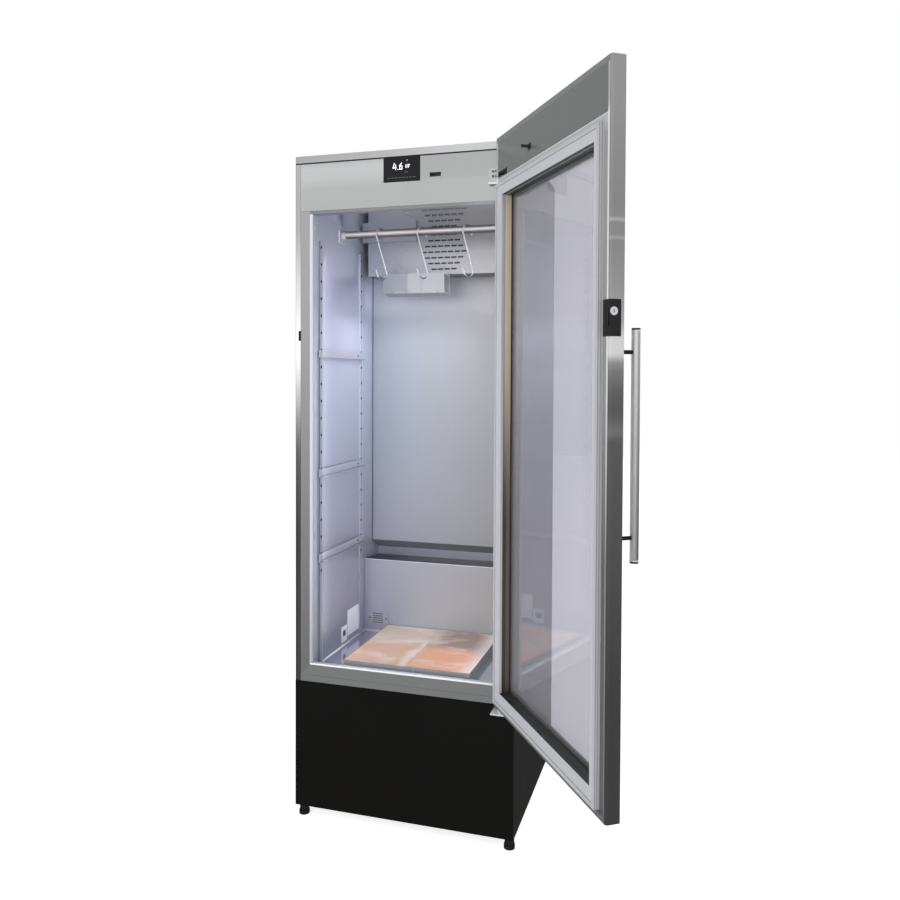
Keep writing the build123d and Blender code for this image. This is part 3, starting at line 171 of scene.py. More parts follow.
def soft_lamp(name, place, aim, size, power, colour=(1, 1, 1)):
    """A rectangular area lamp at a place, turned towards a point, that is never seen itself."""
    data = bpy.data.lights.new(name, "AREA")
    data.shape = "RECTANGLE"
    data.size, data.size_y = size
    data.energy = power
    data.color = colour
    made = bpy.data.objects.new(name, data)
    bpy.context.scene.collection.objects.link(made)
    back = np.array(place, float) - np.array(aim, float)
    back /= np.linalg.norm(back)
    aims_up_or_down = abs(back[2]) >= 0.99
    side = np.cross((0, 1, 0) if aims_up_or_down else (0, 0, 1), back)
    side /= np.linalg.norm(side)
    turn = np.eye(4)
    turn[:3, 0], turn[:3, 1], turn[:3, 2], turn[:3, 3] = side, np.cross(back, side), back, place
    made.matrix_world = Matrix(turn.tolist())
    made.visible_camera = False
    made.visible_transmission = False
    made.visible_glossy = False
    return made


soft_lamp("front_lamp", (-1.6, -3.4, 3.0), (0.1, 0.0, 1.1), (2.6, 2.2), 40)
soft_lamp("right_lamp", (3.4, -1.2, 2.6), (0.3, 0.0, 1.1), (2.2, 2.2), 25)
soft_lamp("top_lamp", (0.2, -0.4, 4.2), (0.2, 0.0, 1.0), (3.0, 3.0), 30)


# ---------------------------------------------------------------- Outer sheets
# The sides, lid, back, header, jambs and sills are folded from 1.2 mm stainless steel sheet.
# Its grinding lines run down the sides and along the front pieces, under broad clouds of gloss.


def blended(tree, share, first, second):
    """A colour between two colours or sockets, by a share from 0 to 1."""
    first, second = [end if isinstance(end, bpy.types.NodeSocket) else (*end, 1) for end in (first, second)]
    return wire(tree, "ShaderNodeMix", {0: share, 6: first, 7: second}, data_type="RGBA").outputs[2]


def noise(tree, place, scale, detail=2.0, roughness=0.5):
    """A noise node over a place."""
    inputs = {"Vector": place, "Scale": scale, "Detail": detail, "Roughness": roughness}
    return wire(tree, "ShaderNodeTexNoise", inputs)


def relief(tree, height, strength, depth):
    """The normal of a fine bump that follows a height, with its depth in metres."""
    inputs = {"Strength": strength, "Distance": depth, "Height": height}
    return wire(tree, "ShaderNodeBump", inputs).outputs[0]


def connect(tree, node, **sockets):
    """Links sockets to a node's inputs of the same names."""
    for name, socket in sockets.items():
        tree.links.new(socket, node.inputs[name.replace("_", " ")])


def finish_group(name, inputs, outputs):
    """An empty shader node group with its sockets, for an effect that several materials use."""
    group = bpy.data.node_groups.new(name, "ShaderNodeTree")
    for socket, kind, value in inputs:
        made = group.interface.new_socket(socket, in_out="INPUT", socket_type=kind)
        made.default_value = value
    for socket, kind in outputs:
        group.interface.new_socket(socket, in_out="OUTPUT", socket_type=kind)
    return group, wire(group, "NodeGroupInput"), wire(group, "NodeGroupOutput")


# Grinding lines: noise stretched about a hundredfold along one axis, with broad clouds over it.
line_depth = 0.0004
grinding, given, result = finish_group(
    "grinding_lines",
    [("Lines", "NodeSocketVector", (300.0, 300.0, 3.0)), ("Clouds", "NodeSocketFloat", 2.5)],
    [("Line", "NodeSocketFloat"), ("Cloud", "NodeSocketFloat")])
place = wire(grinding, "ShaderNodeTexCoord").outputs["Object"]
stretched = wire(grinding, "ShaderNodeVectorMath", {0: place, 1: given.outputs["Lines"]},
                 operation="MULTIPLY")
line = noise(grinding, stretched.outputs[0], 1.0, 3.0, 0.6)
cloud = noise(grinding, place, given.outputs["Clouds"])
connect(grinding, result, Line=line.outputs["Fac"], Cloud=cloud.outputs["Fac"])


def ground_marks(tree, lines, clouds):
    """The grinding lines and their clouds, as two values of a material."""
    effect = wire(tree, "ShaderNodeGroup", {"Lines": lines, "Clouds": clouds}, node_tree=grinding)
    return effect.outputs["Line"], effect.outputs["Cloud"]


def ground_steel(name, dark, pale, lines, roughness, bump=0.12, clouds=2.5, metal=1.0):
    """Bare steel: colour and roughness vary with the grinding lines, and a fine bump follows them."""
    made, tree, shader = new_material(name)
    line, cloud = ground_marks(tree, lines, clouds)
    uneven = maths(tree, "ADD", maths(tree, "MULTIPLY", line, 0.6), cloud)
    connect(tree, shader, Base_Color=blended(tree, line, dark, pale),
            Roughness=mapped(tree, uneven, 0.3, 1.3, *roughness),
            Normal=relief(tree, line, bump, line_depth))
    shader.inputs["Metallic"].default_value = metal
    return made


def dress(material, *nodes):
    """Gives CAD nodes a material in place of the imported one."""
    for node in nodes:
        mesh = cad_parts[node].data
        mesh.materials.clear()
        mesh.materials.append(material)


# The open door's own directions: from its pivot towards the latch, and from its inner face into it.
opened = math.radians(124.425)
quarter_turn = math.radians(90)
pivot = (0.3165, -0.028, 0.0)
towards_latch = (math.sin(opened - quarter_turn), -math.cos(opened - quarter_turn), 0.0)
into_door = (-math.sin(opened), math.cos(opened), 0.0)


def measure(tree, axis):
    """One measure of a shaded point: x, y, z, across (distance from the middle plane), level (how far its
    face looks up or down), along or deep (from the pivot along the open door, and into it)."""
    place = wire(tree, "ShaderNodeTexCoord")
    if axis in ("along", "deep"):
        moved = wire(tree, "ShaderNodeVectorMath", {0: place.outputs["Object"], 1: pivot},
                     operation="SUBTRACT")
        way = towards_latch if axis == "along" else into_door
        reach = wire(tree, "ShaderNodeVectorMath", {0: moved.outputs[0], 1: way}, operation="DOT_PRODUCT")
        return reach.outputs["Value"]
    split = wire(tree, "ShaderNodeSeparateXYZ", {0: place.outputs["Normal" if axis == "level" else "Object"]})
    if axis in ("level", "across"):
        return maths(tree, "ABSOLUTE", split.outputs["Z" if axis == "level" else "X"])
    return split.outputs[axis.upper()]


def within(tree, limits):
    """A share that is 1 where each named measure lies between its two limits, and 0 elsewhere."""
    share = None
    for axis, low, high in limits:
        inside = maths(tree, "COMPARE", measure(tree, axis), (low + high) / 2, (high - low) / 2)
        share = inside if share is None else maths(tree, "MULTIPLY", share, inside)
    return share


def marked(material, *marks):
    """The finish with parts of it in another colour. A mark is that colour and the limits of its part."""
    tree = material.node_tree
    socket = tree.nodes["Principled BSDF"].inputs["Base Color"]
    for colour, *limits in marks:
        tree.links.new(blended(tree, within(tree, limits), socket.links[0].from_socket, colour), socket)
    return material


def graded(material, stops, *limits, axis="z"):
    """The finish with the part between some limits coloured by a ramp along an axis."""
    tree = material.node_tree
    socket = tree.nodes["Principled BSDF"].inputs["Base Color"]
    ramp = colour_ramp(tree, measure(tree, axis), stops)
    tree.links.new(blended(tree, within(tree, limits), socket.links[0].from_socket, ramp), socket)
    return material


down_lines, level_lines = (420, 420, 4), (4, 420, 420)
front_face = ("y", -0.001, 0.001)

# The side panels: their narrow front returns and the right-hand face carry painted reflections of the room in
# level bands.
upright_steel = ground_steel("upright_steel", (0.52, 0.52, 0.53), (0.66, 0.66, 0.67), down_lines,
                             (0.12, 0.22))
graded(upright_steel, [(0.4, 0.5), (0.525, 0.5), (0.836, 0.34), (1.147, 0.44), (1.3, 0.8), (1.427, 0.92),
                       (1.614, 0.6), (1.831, 0.44), (2.018, 0.56), (2.06, 0.56)],
       ("across", 0.331, 0.351), ("y", -0.001, 0.0015))
graded(upright_steel, [(0.43, 0.57), (0.9, 0.55), (1.15, 0.45), (1.35, 0.32), (1.47, 0.26), (1.65, 0.32),
                       (1.9, 0.42), (2.034, 0.5)], ("x", 0.3494, 0.3506), ("y", 0.002, 0.66))
dress(upright_steel, "side_panel_left", "side_panel_right", "rear_panel")

jamb_steel = ground_steel("jamb_steel", (0.56, 0.56, 0.57), (0.7, 0.7, 0.71), down_lines, (0.4, 0.52))
dress(jamb_steel, "jambs")

# The lid: a painted sheen that grows paler to the right, over painted shade in the seam that it shares with
# the header's upper edge.
lid_steel = ground_steel("lid_steel", (0.43, 0.43, 0.43), (0.49, 0.49, 0.49), level_lines, (0.34, 0.42),
                         bump=0.05)
graded(lid_steel, [(-0.351, 0.56), (-0.05, 0.66), (0.08, 0.74), (0.2, 0.79), (0.351, 0.79)], front_face,
       axis="x")
marked(lid_steel, ((0.03, 0.03, 0.03), front_face, ("z", 2.03, 2.0378)))
dress(lid_steel, "top_lid")

# The header: a painted highlight band to the left of its middle and a darker one to the right, and painted
# shade in its seam under the lid.
level_steel = ground_steel("level_steel", (0.62, 0.635, 0.62), (0.66, 0.675, 0.66), level_lines, (0.34, 0.4),
                           bump=0.03)
graded(level_steel, [(1.89, (0.6, 0.615, 0.6)), (1.955, (0.62, 0.635, 0.62)), (1.985, (0.72, 0.73, 0.72)),
                     (2.015, (0.75, 0.76, 0.75)), (2.034, (0.68, 0.69, 0.68))], ("x", -0.34, 0.0))
graded(level_steel, [(1.89, (0.6, 0.615, 0.6)), (1.955, (0.61, 0.625, 0.61)), (1.97, (0.56, 0.575, 0.56)),
                     (2.034, (0.56, 0.575, 0.56))], ("x", 0.0, 0.34))
marked(level_steel, ((0.05, 0.05, 0.05), front_face, ("z", 2.0334, 2.035)))
dress(level_steel, "header_fascia")

sill_steel = ground_steel("sill_steel", (0.62, 0.63, 0.62), (0.7, 0.71, 0.7), level_lines, (0.5, 0.6),
                          bump=0.05)
dress(sill_steel, "sill", "lower_rail")


# ---------------------------------------------------------------- Base and cooling unit
# The base is folded steel sheet with a satin black powder coat, and stands on four screwed plastic feet.
# The compressor, and the condenser with its shroud and fan, are fixed inside it over a moulded drip pan.


# Orange peel: fine noise over the skin of a coat or moulding, with slow clouds over it.
orange_peel, given, result = finish_group(
    "orange_peel", [("Scale", "NodeSocketFloat", 900.0)],
    [("Peel", "NodeSocketFloat"), ("Cloud", "NodeSocketFloat")])
place = wire(orange_peel, "ShaderNodeTexCoord").outputs["Object"]
peel = noise(orange_peel, place, given.outputs["Scale"])
cloud = noise(orange_peel, place, 3.0, 3.0)
connect(orange_peel, result, Peel=peel.outputs["Fac"], Cloud=cloud.outputs["Fac"])


def painted(name, colour, roughness, bump=0.15, scale=900.0, gloss=0.5):
    """Powder coat or moulded plastic: one colour with a fine orange-peel bump and a faint variation of
    tone and gloss."""
    made, tree, shader = new_material(name)
    effect = wire(tree, "ShaderNodeGroup", {"Scale": scale}, node_tree=orange_peel)
    peel, cloud = effect.outputs["Peel"], effect.outputs["Cloud"]
    connect(tree, shader,
            Base_Color=blended(tree, cloud, [c * 0.9 for c in colour], [min(1, c * 1.1) for c in colour]),
            Roughness=mapped(tree, cloud, 0.3, 0.7, roughness - 0.05, roughness + 0.06),
            Normal=relief(tree, peel, bump, 0.0002))
    shader.inputs["Specular IOR Level"].default_value = gloss
    return made


# Painted light: the black coat is a little paler on the base's sides than on its front.
black_coat = painted("black_coat", (0.0045, 0.004, 0.0035), 0.5, gloss=0.2)
marked(black_coat, ((0.022, 0.021, 0.02), ("across", 0.3494, 0.351)))
dress(black_coat, "base_shell", "base_grille", "base_plates", "compressor")
dress(painted("grey_coat", (0.3, 0.31, 0.32), 0.5), "condenser_shroud")
coil_aluminium = ground_steel("coil_aluminium", (0.55, 0.55, 0.56), (0.7, 0.7, 0.71), (60, 60, 60),
                              (0.3, 0.5))
dress(coil_aluminium, "condenser")
dark_plastic = painted("dark_plastic", (0.012, 0.012, 0.013), 0.45, 0.1, gloss=0.3)
dress(dark_plastic, "condenser_fan", "drip_pan", "power_inlet", "foot_front_left", "foot_front_right",
      "foot_back_left", "foot_back_right")


# ---------------------------------------------------------------- Foam and the strip round the opening
# Rigid foam fills the walls. Where the catch's opening in the left side panel shows it, it has painted grey
# shade. A pale moulded strip snaps in between the front sheets and the chamber, so that no cold crosses over.

foam_skin = painted("foam_skin", (0.8, 0.72, 0.45), 0.8, 0.3, 300)
# Painted shade inside the catch's opening.
marked(foam_skin, ((0.3, 0.3, 0.31), ("x", -0.36, -0.3), ("z", 1.46, 1.58)))
dress(foam_skin, "foam")

# The strip's sides are painted paler with height as light, its top has painted shade to the left, its outer
# edges have painted highlights, and its foot is painted paler, with a painted highlight along its front.
ceiling_level = 1.8803
frame_plastic = painted("frame_plastic", (0.66, 0.69, 0.78), 0.3, 0.05)
graded(frame_plastic, [(0.48, (0.35, 0.36, 0.41)), (0.8, (0.55, 0.58, 0.67)), (1.3, (0.65, 0.67, 0.74)),
                       (1.9, (0.6, 0.62, 0.67))], ("across", 0.28, 0.301))
graded(frame_plastic, [(-0.301, (0.17, 0.18, 0.22)), (-0.1, (0.21, 0.215, 0.22)),
                       (0.16, (0.22, 0.225, 0.225)), (0.24, (0.31, 0.315, 0.32)),
                       (0.301, (0.31, 0.315, 0.32))], ("z", ceiling_level, 1.9), axis="x")
strip_foot = 0.4897
marked(frame_plastic, ((0.88, 0.88, 0.89), ("across", 0.2992, 0.301), ("z", 0.4896, ceiling_level)),
       ((0.6, 0.61, 0.65), ("z", 0.48, strip_foot)),
       ((0.85, 0.85, 0.87), ("z", 0.48, strip_foot), ("y", -0.001, 0.0055)))
dress(frame_plastic, "breaker_frame")


# ---------------------------------------------------------------- Chamber sheets
# The chamber is folded from satin stainless steel: walls, ceiling, floor, false back and guard panel.
# Its left side has a lavender cast, the ceiling is polished like a mirror, and no sheet is quite flat.
# Slotted standards are riveted to its walls and carry loose angle supports.

chamber_foot, chamber_head = 0.47, 1.88

# Colour drift: the tint of a sheet that isn't flat wanders softly between a pinkish and a greenish one.
colour_drift, given, result = finish_group(
    "colour_drift", [("Scale", "NodeSocketFloat", 1.7)], [("Tint", "NodeSocketColor")])
place = wire(colour_drift, "ShaderNodeTexCoord").outputs["Object"]
drift = noise(colour_drift, place, given.outputs["Scale"], 1.0).outputs["Fac"]
drift = mapped(colour_drift, drift, 0.25, 0.75, interpolation_type="SMOOTHSTEP")
connect(colour_drift, result, Tint=blended(colour_drift, drift, (1.05, 0.985, 1.0), (0.96, 1.01, 0.985)))


def chamber_sheet(name, left, right, roughness, metal=0.5, mirror_above=9.0, foot=1.0, head=1.0):
    """Satin steel whose cast fades from one side to the other, and whose tone changes from the foot of the
    chamber to its head as painted shade and painted light, polished above a given height."""
    made, tree, shader = new_material(name)
    line, cloud = ground_marks(tree, (260, 260, 5), 2.2)
    place = wire(tree, "ShaderNodeTexCoord").outputs["Object"]
    split = wire(tree, "ShaderNodeSeparateXYZ", {0: place})
    across = mapped(tree, split.outputs["X"], -0.26, 0.2)
    polished = maths(tree, "GREATER_THAN", split.outputs["Z"], mirror_above)
    tint = wire(tree, "ShaderNodeGroup", {"Scale": 1.7}, node_tree=colour_drift).outputs["Tint"]
    cast = blended(tree, across, left, right)
    tone = wire(tree, "ShaderNodeVectorMath", {0: cast, 1: tint}, operation="MULTIPLY")
    lined = mapped(tree, line, 0.25, 0.75, 0.98, 1.02)
    # Painted shade towards the chamber's foot and painted light towards its head.
    rise = mapped(tree, split.outputs["Z"], chamber_foot, chamber_head, foot, head)
    strength = maths(tree, "MULTIPLY", lined, rise)
    tone = wire(tree, "ShaderNodeVectorMath", {0: tone.outputs[0], "Scale": strength}, operation="SCALE")
    mirror = blended(tree, across, (0.9, 0.91, 0.9), (1.0, 1.0, 0.99))
    satin = mapped(tree, cloud, 0.2, 0.8, *roughness, interpolation_type="SMOOTHSTEP")
    rough = wire(tree, "ShaderNodeMix", {0: polished, 2: satin, 3: 0.05}, data_type="FLOAT")
    gleam = wire(tree, "ShaderNodeMix", {0: polished, 2: metal, 3: 1.0}, data_type="FLOAT")
    connect(tree, shader, Base_Color=blended(tree, polished, tone.outputs[0], mirror),
            Roughness=rough.outputs[0], Metallic=gleam.outputs[0],
            Normal=relief(tree, line, 0.05, line_depth))
    return made


# Colours for painted shade and painted highlights.
shade, glint = (0.015, 0.015, 0.018), (0.96, 0.96, 0.98)

# Walls and ceiling, with the shadow that each standard throws on the wall beside it.
wall_steel = chamber_sheet("wall_steel", (0.66, 0.69, 0.84), (0.62, 0.63, 0.66), (0.3, 0.42),
                           mirror_above=ceiling_level, foot=0.68, head=1.25)
marked(wall_steel, *[(shade, ("across", 0.2902, 0.2925), ("y", y, y + 0.021), ("z", 0.472, 1.8055))
                     for y in (0.0445, 0.3655)])
dress(wall_steel, "liner")

# Standards: painted highlights on their folded edges, painted shade on their front side, and painted shade in
# the hollows behind the slots.
standard_steel = chamber_sheet("standard_steel", (0.62, 0.64, 0.78), (0.6, 0.62, 0.7), (0.3, 0.4), foot=0.75,
                               head=1.2)
marked(standard_steel, *[(glint, ("y", y, y + 0.0022), ("z", foot, 1.81))
                         for y, foot in ((0.0608, 0.47), (0.364, 0.745), (0.3818, 0.745))],
       ((0.3, 0.31, 0.38), ("y", 0.043, 0.0445)),
       *[(shade, ("across", 0.2871, 0.291), ("y", y, y + 0.011)) for y in (0.0475, 0.3685)],
       *[(shade, ("across", 0.2886, 0.291), ("y", y, y + 0.0172)) for y in (0.0446, 0.3654)])
dress(standard_steel, "shelf_standards")

# Supports: painted shade on their level faces, and a dark pin near the back standard.
support_steel = chamber_sheet("support_steel", (0.7, 0.72, 0.84), (0.7, 0.72, 0.8), (0.3, 0.4))
marked(support_steel, ((0.26, 0.26, 0.3), ("level", 0.5, 1.1)),
       ((0.12, 0.12, 0.14), ("y", 0.3372, 0.3428), ("across", 0.28, 0.2854)))
dress(support_steel, "shelf_supports")

# False back, with a shadow down its left edge.
back_steel = chamber_sheet("back_steel", (0.45, 0.475, 0.55), (0.36, 0.375, 0.375), (0.3, 0.42))
marked(back_steel, (shade, ("x", -0.292, -0.2885)))
dress(back_steel, "false_back")

# Guard panel: painted shade on its folded top, behind a painted highlight along the fold.
guard_steel = chamber_sheet("guard_steel", (0.5, 0.53, 0.62), (0.46, 0.48, 0.48), (0.3, 0.42))
marked(guard_steel, ((0.07, 0.07, 0.075), ("y", 0.4168, 0.56)),
       (glint, ("z", 0.7278, 0.731), ("y", 0.41, 0.4168)))
dress(guard_steel, "guard_panel")

floor_steel = chamber_sheet("floor_steel", (0.56, 0.58, 0.68), (0.54, 0.55, 0.59), (0.1, 0.16), metal=0.8)
dress(floor_steel, "floor_pan")


# ---------------------------------------------------------------- Beads along the chamber floor
# A thin rounded bead of bright sealant closes the corner between the floor pan and each wall, from the
# strip at the front to the guard panel, and the corner along the guard panel itself.

bead_steel, tree, shader = new_material("bead_steel")
speck = noise(tree, wire(tree, "ShaderNodeTexCoord").outputs["Object"], 120.0).outputs["Fac"]
connect(tree, shader, Base_Color=blended(tree, speck, (0.74, 0.74, 0.76), (0.9, 0.9, 0.92)))
shader.inputs["Roughness"].default_value = 0.35


def corner_bead(name, start, end, out, up, radius=0.0045, steps=7):
    """A quarter-round strip: the arc of a quarter turn, between two directions, carried from start to end."""
    turn = np.linspace(0, math.pi / 2, steps)[:, None]
    out, up = np.array(out, float) * radius, np.array(up, float) * radius
    arc = out * (1 - np.sin(turn)) + up * (1 - np.cos(turn))
    arc = np.vstack([arc, np.zeros((1, 3))])
    points = np.vstack([np.array(start) + arc, np.array(end) + arc])
    count = len(arc)
    ring = np.arange(count)
    sides = np.stack([ring, (ring + 1) % count, (ring + 1) % count + count, ring + count], 1)
    faces = [*sides.tolist(), ring[::-1].tolist(), (ring + count).tolist()]
    made = new_piece(name, points, faces, smooth=True)
    made.data.materials.append(bead_steel)
    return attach(made, "cabinet")


wall_sheet, behind_strip, hair = 0.0012, 0.031, 0.0002
chamber_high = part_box("floor_pan")[1]
wall_x, floor_level, guard_front = chamber_high.x - wall_sheet, chamber_high.z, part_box("guard_panel")[0].y
for piece, side in (("floor_bead_left", -1), ("floor_bead_right", 1)):
    corner_bead(piece, (wall_x * side, behind_strip, floor_level), (wall_x * side, guard_front, floor_level),
                (-side, 0, 0), (0, 0, 1))
corner_bead("floor_bead_back", (-wall_x, guard_front - hair, floor_level),
            (wall_x, guard_front - hair, floor_level), (0, -1, 0), (0, 0, 1))


# ---------------------------------------------------------------- Vent plate, cooler and lamp box
# The vent plate, the slotted cover of the cooler, and the lamp box with its louvres are thin folded
# steel, screwed on. A black sheet behind the holes of each is painted shade, and hides the cooler.


def flat_plate(name, low, high):
    """A closed box from its lowest and highest corner, its corners numbered by three bits."""
    bits = (np.arange(8)[:, None] >> np.arange(3)) & 1
    points = np.where(bits, np.array(high, float), np.array(low, float))
    faces = [(0, 4, 6, 2), (1, 3, 7, 5), (0, 1, 5, 4), (2, 6, 7, 3), (0, 2, 3, 1), (4, 5, 7, 6)]
    return new_piece(name, points, faces)


# Mottling: plain noise, for small pieces whose colour and gloss vary a little from place to place.
mottling, given, result = finish_group(
    "mottling", [("Scale", "NodeSocketFloat", 40.0)], [("Cloud", "NodeSocketFloat")])
place = wire(mottling, "ShaderNodeTexCoord").outputs["Object"]
cloud = noise(mottling, place, given.outputs["Scale"], 3.0)
connect(mottling, result, Cloud=cloud.outputs["Fac"])


def mottled(name, colour, roughness=0.5, scale=40.0, spread=0.1, **extra):
    """A plain finish whose colour lies within a share of its own, and whose gloss varies with it."""
    made, tree, shader = new_material(name)
    cloud = wire(tree, "ShaderNodeGroup", {"Scale": scale}, node_tree=mottling).outputs["Cloud"]
    connect(tree, shader,
            Base_Color=blended(tree, cloud, [c * (1 - spread) for c in colour],
                               [min(1, c * (1 + spread)) for c in colour]),
            Roughness=mapped(tree, cloud, 0.3, 0.7, roughness - 0.05, roughness + 0.05))
    for socket, value in extra.items():
        shader.inputs[socket.replace("_", " ")].default_value = value
    return made


def fixed(piece, material):
    """Gives a new piece its finish and fixes it to the cabinet."""
    piece.data.materials.append(material)
    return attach(piece, "cabinet")


rim = 0.012
vent_low, vent_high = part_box("vent_plate")
vent_steel = chamber_sheet("vent_steel", (0.52, 0.55, 0.62), (0.5, 0.52, 0.52), (0.3, 0.42))
# Painted shade inside the holes of the vent plate.
marked(vent_steel, (shade, ("y", vent_low.y + 0.0002, vent_high.y + 0.001)))
dress(vent_steel, "vent_plate")
# A black sheet behind the vent holes, as painted shade.
fixed(flat_plate("vent_shade_sheet", (vent_low.x + rim, vent_high.y - 0.0003, vent_low.z + rim / 4),
                 (vent_high.x - rim, vent_high.y - 0.0001, vent_high.z - rim / 4)),
      mottled("vent_shade_black", (0.012, 0.012, 0.014), 0.7, 900.0, 0.4))

# Cooler cover: painted shade along its left and lower edges and inside its slots. The coil, motor and fan
# hide in it.
cover_steel = chamber_sheet("cover_steel", (0.46, 0.475, 0.54), (0.47, 0.48, 0.49), (0.2, 0.3), metal=0.6)
marked(cover_steel, (shade, ("x", -0.268, -0.2655)), ((0.1, 0.1, 0.11), ("z", 1.73, 1.7312)),
       (shade, ("y", 0.3852, 0.3863), ("across", 0.0, 0.12)))
dress(cover_steel, "evaporator_cover")
dress(painted("coil_black", (0.01, 0.01, 0.012), 0.6), "evaporator_coil")
dress(coil_aluminium, "evaporator_motor")
dress(dark_plastic, "evaporator_fan")
# A black sheet behind the cover's slots, as painted shade.
shade_sheet_black = mottled("cover_shade_black", (0.012, 0.012, 0.013), 0.8, 900.0, 0.4)
cover_low, cover_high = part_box("evaporator_cover")
fixed(flat_plate("cover_shade_sheet", (cover_low.x + rim, cover_low.y + 0.0014, cover_low.z + 0.01),
                 (cover_high.x - rim, cover_low.y + 0.0016, cover_high.z - 0.01)), shade_sheet_black)

# Lamp box: the left part of its front is painted darker as shade, up to a fine seam with painted shade in it.
# Its right cheek has a painted highlight, and its lower part painted shade.
fitting_steel = chamber_sheet("fitting_steel", (0.46, 0.475, 0.54), (0.47, 0.48, 0.49), (0.2, 0.3), metal=0.6)
lamp_front = ("y", 0.329, 0.331)
marked(fitting_steel, ((0.35, 0.365, 0.41), lamp_front, ("z", 1.6, 1.7306), ("x", -0.19, -0.1)),
       ((0.27, 0.28, 0.31), lamp_front, ("x", -0.0518, -0.0502), ("z", 1.6, 1.7304)),
       ((0.98, 0.98, 1.0), ("x", 0.0285, 0.0295)),
       ((0.22, 0.22, 0.25), ("z", 1.6, 1.6645), ("y", 0.3312, 0.41)))
dress(fitting_steel, "lamp_boxes")
# A black sheet behind the louvres, as painted shade.
fixed(flat_plate("louvre_shade_sheet", (0.0268, 0.3325, 1.668), (0.0272, 0.384, 1.728)), shade_sheet_black)


# ---------------------------------------------------------------- Lamp cover
# A moulded grey plastic cover closes the underside of the lamp box. It snaps in, and slopes down
# towards the back.

lamp_low, lamp_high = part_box("lamp_boxes")
lamp_ends = np.array([-0.1886, 0.0286])
front, back, under = lamp_low.y + 0.0006, lamp_high.y - 0.0006, lamp_low.z
front_drop, back_drop = 0.0006, 0.0052
# The cover is a wedge: its profile of four corners is carried from one end of the box to the other.
profile = np.array([(front, under), (front, under - front_drop), (back, under - back_drop), (back, under)])
wedge = np.insert(np.tile(profile, (2, 1)), 0, np.repeat(lamp_ends, len(profile)), axis=1)
wedge_faces = [(0, 1, 2, 3), (7, 6, 5, 4), (0, 4, 5, 1), (1, 5, 6, 2), (2, 6, 7, 3), (3, 7, 4, 0)]
fixed(new_piece("lamp_cover", wedge, wedge_faces), mottled("cover_grey", (0.27, 0.275, 0.3), 0.5, 60.0, 0.08))


# ---------------------------------------------------------------- Stickers
# Two stickers of white paper are glued to the left wall near the floor. They are bare, apart from
# a plain grey block on the smaller one. Their corners are given as distances along the wall and up it.

# The paper has a faint glow of its own, as painted light.
paper = mottled("sticker_paper", (0.88, 0.91, 1.0), 0.45, 60.0, 0.03, Emission_Color=(0.82, 0.86, 1.0, 1),
                Emission_Strength=0.1)
for piece, low, high in (("large_sticker", (0.266, 0.494), (0.363, 0.581)),
                         ("small_sticker", (0.216, 0.484), (0.262, 0.537))):
    fixed(flat_plate(piece, (-wall_x + 0.0001, *low), (-wall_x + 0.0004, *high)), paper)
fixed(flat_plate("sticker_print", (-wall_x + 0.0003, 0.228, 0.503), (-wall_x + 0.0005, 0.25, 0.522)),
      mottled("print_grey", (0.12, 0.12, 0.14), 0.5, 300.0, 0.3))


# ---------------------------------------------------------------- Rail and hooks
# The rail is polished stainless tube in two brackets under the ceiling. The hooks are bent from wire
# and hang loose on it. The ceiling doesn't mirror any of them, so they are kept out of reflections.

# The hooks are painted dark as shade where they curve over the rail and under their feet.
all_ways = (200, 200, 200)
hook_steel = ground_steel("hook_steel", (0.86, 0.86, 0.88), (0.95, 0.95, 0.97), all_ways, (0.2, 0.34),
                          bump=0.03, clouds=6.0, metal=0.5)
graded(hook_steel, [(1.696, (0.2, 0.21, 0.22)), (1.7025, (0.34, 0.35, 0.36)), (1.709, (0.94, 0.94, 0.96)),
                    (1.857, (0.94, 0.94, 0.96)), (1.862, (0.2, 0.2, 0.21)), (1.866, (0.12, 0.12, 0.13))],
       ("z", 1.69, 1.87), ("across", 0.0, 0.17))
# The rail carries a painted reflection: one bright band along its middle, between painted dark ones.
rail_steel = ground_steel("rail_steel", (0.8, 0.78, 0.78), (0.9, 0.88, 0.88), (4, 200, 200), (0.2, 0.28),
                          bump=0.03, clouds=6.0, metal=0.4)
graded(rail_steel, [(1.8355, (0.1, 0.09, 0.09)), (1.8395, (0.16, 0.14, 0.14)), (1.843, (0.6, 0.56, 0.55)),
                    (1.8465, (0.98, 0.97, 0.98)), (1.8505, (0.98, 0.97, 0.98)), (1.8545, (0.42, 0.39, 0.39)),
                    (1.858, (0.24, 0.21, 0.21)), (1.8605, (0.1, 0.08, 0.08))], ("across", 0.0, 0.272))
dress(rail_steel, "hanging_rail")
dress(hook_steel, "rail_brackets", "hook_1", "hook_2", "hook_3")
for node in ("hanging_rail", "rail_brackets", "hook_1", "hook_2", "hook_3"):
    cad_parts[node].visible_glossy = False


# ---------------------------------------------------------------- Salt bed
# Four blocks of pink rock salt, sawn flat, lie close together in a shallow folded steel tray.
# Milky veins run through them, and they grow whitish along the middle joint and towards the right rim.

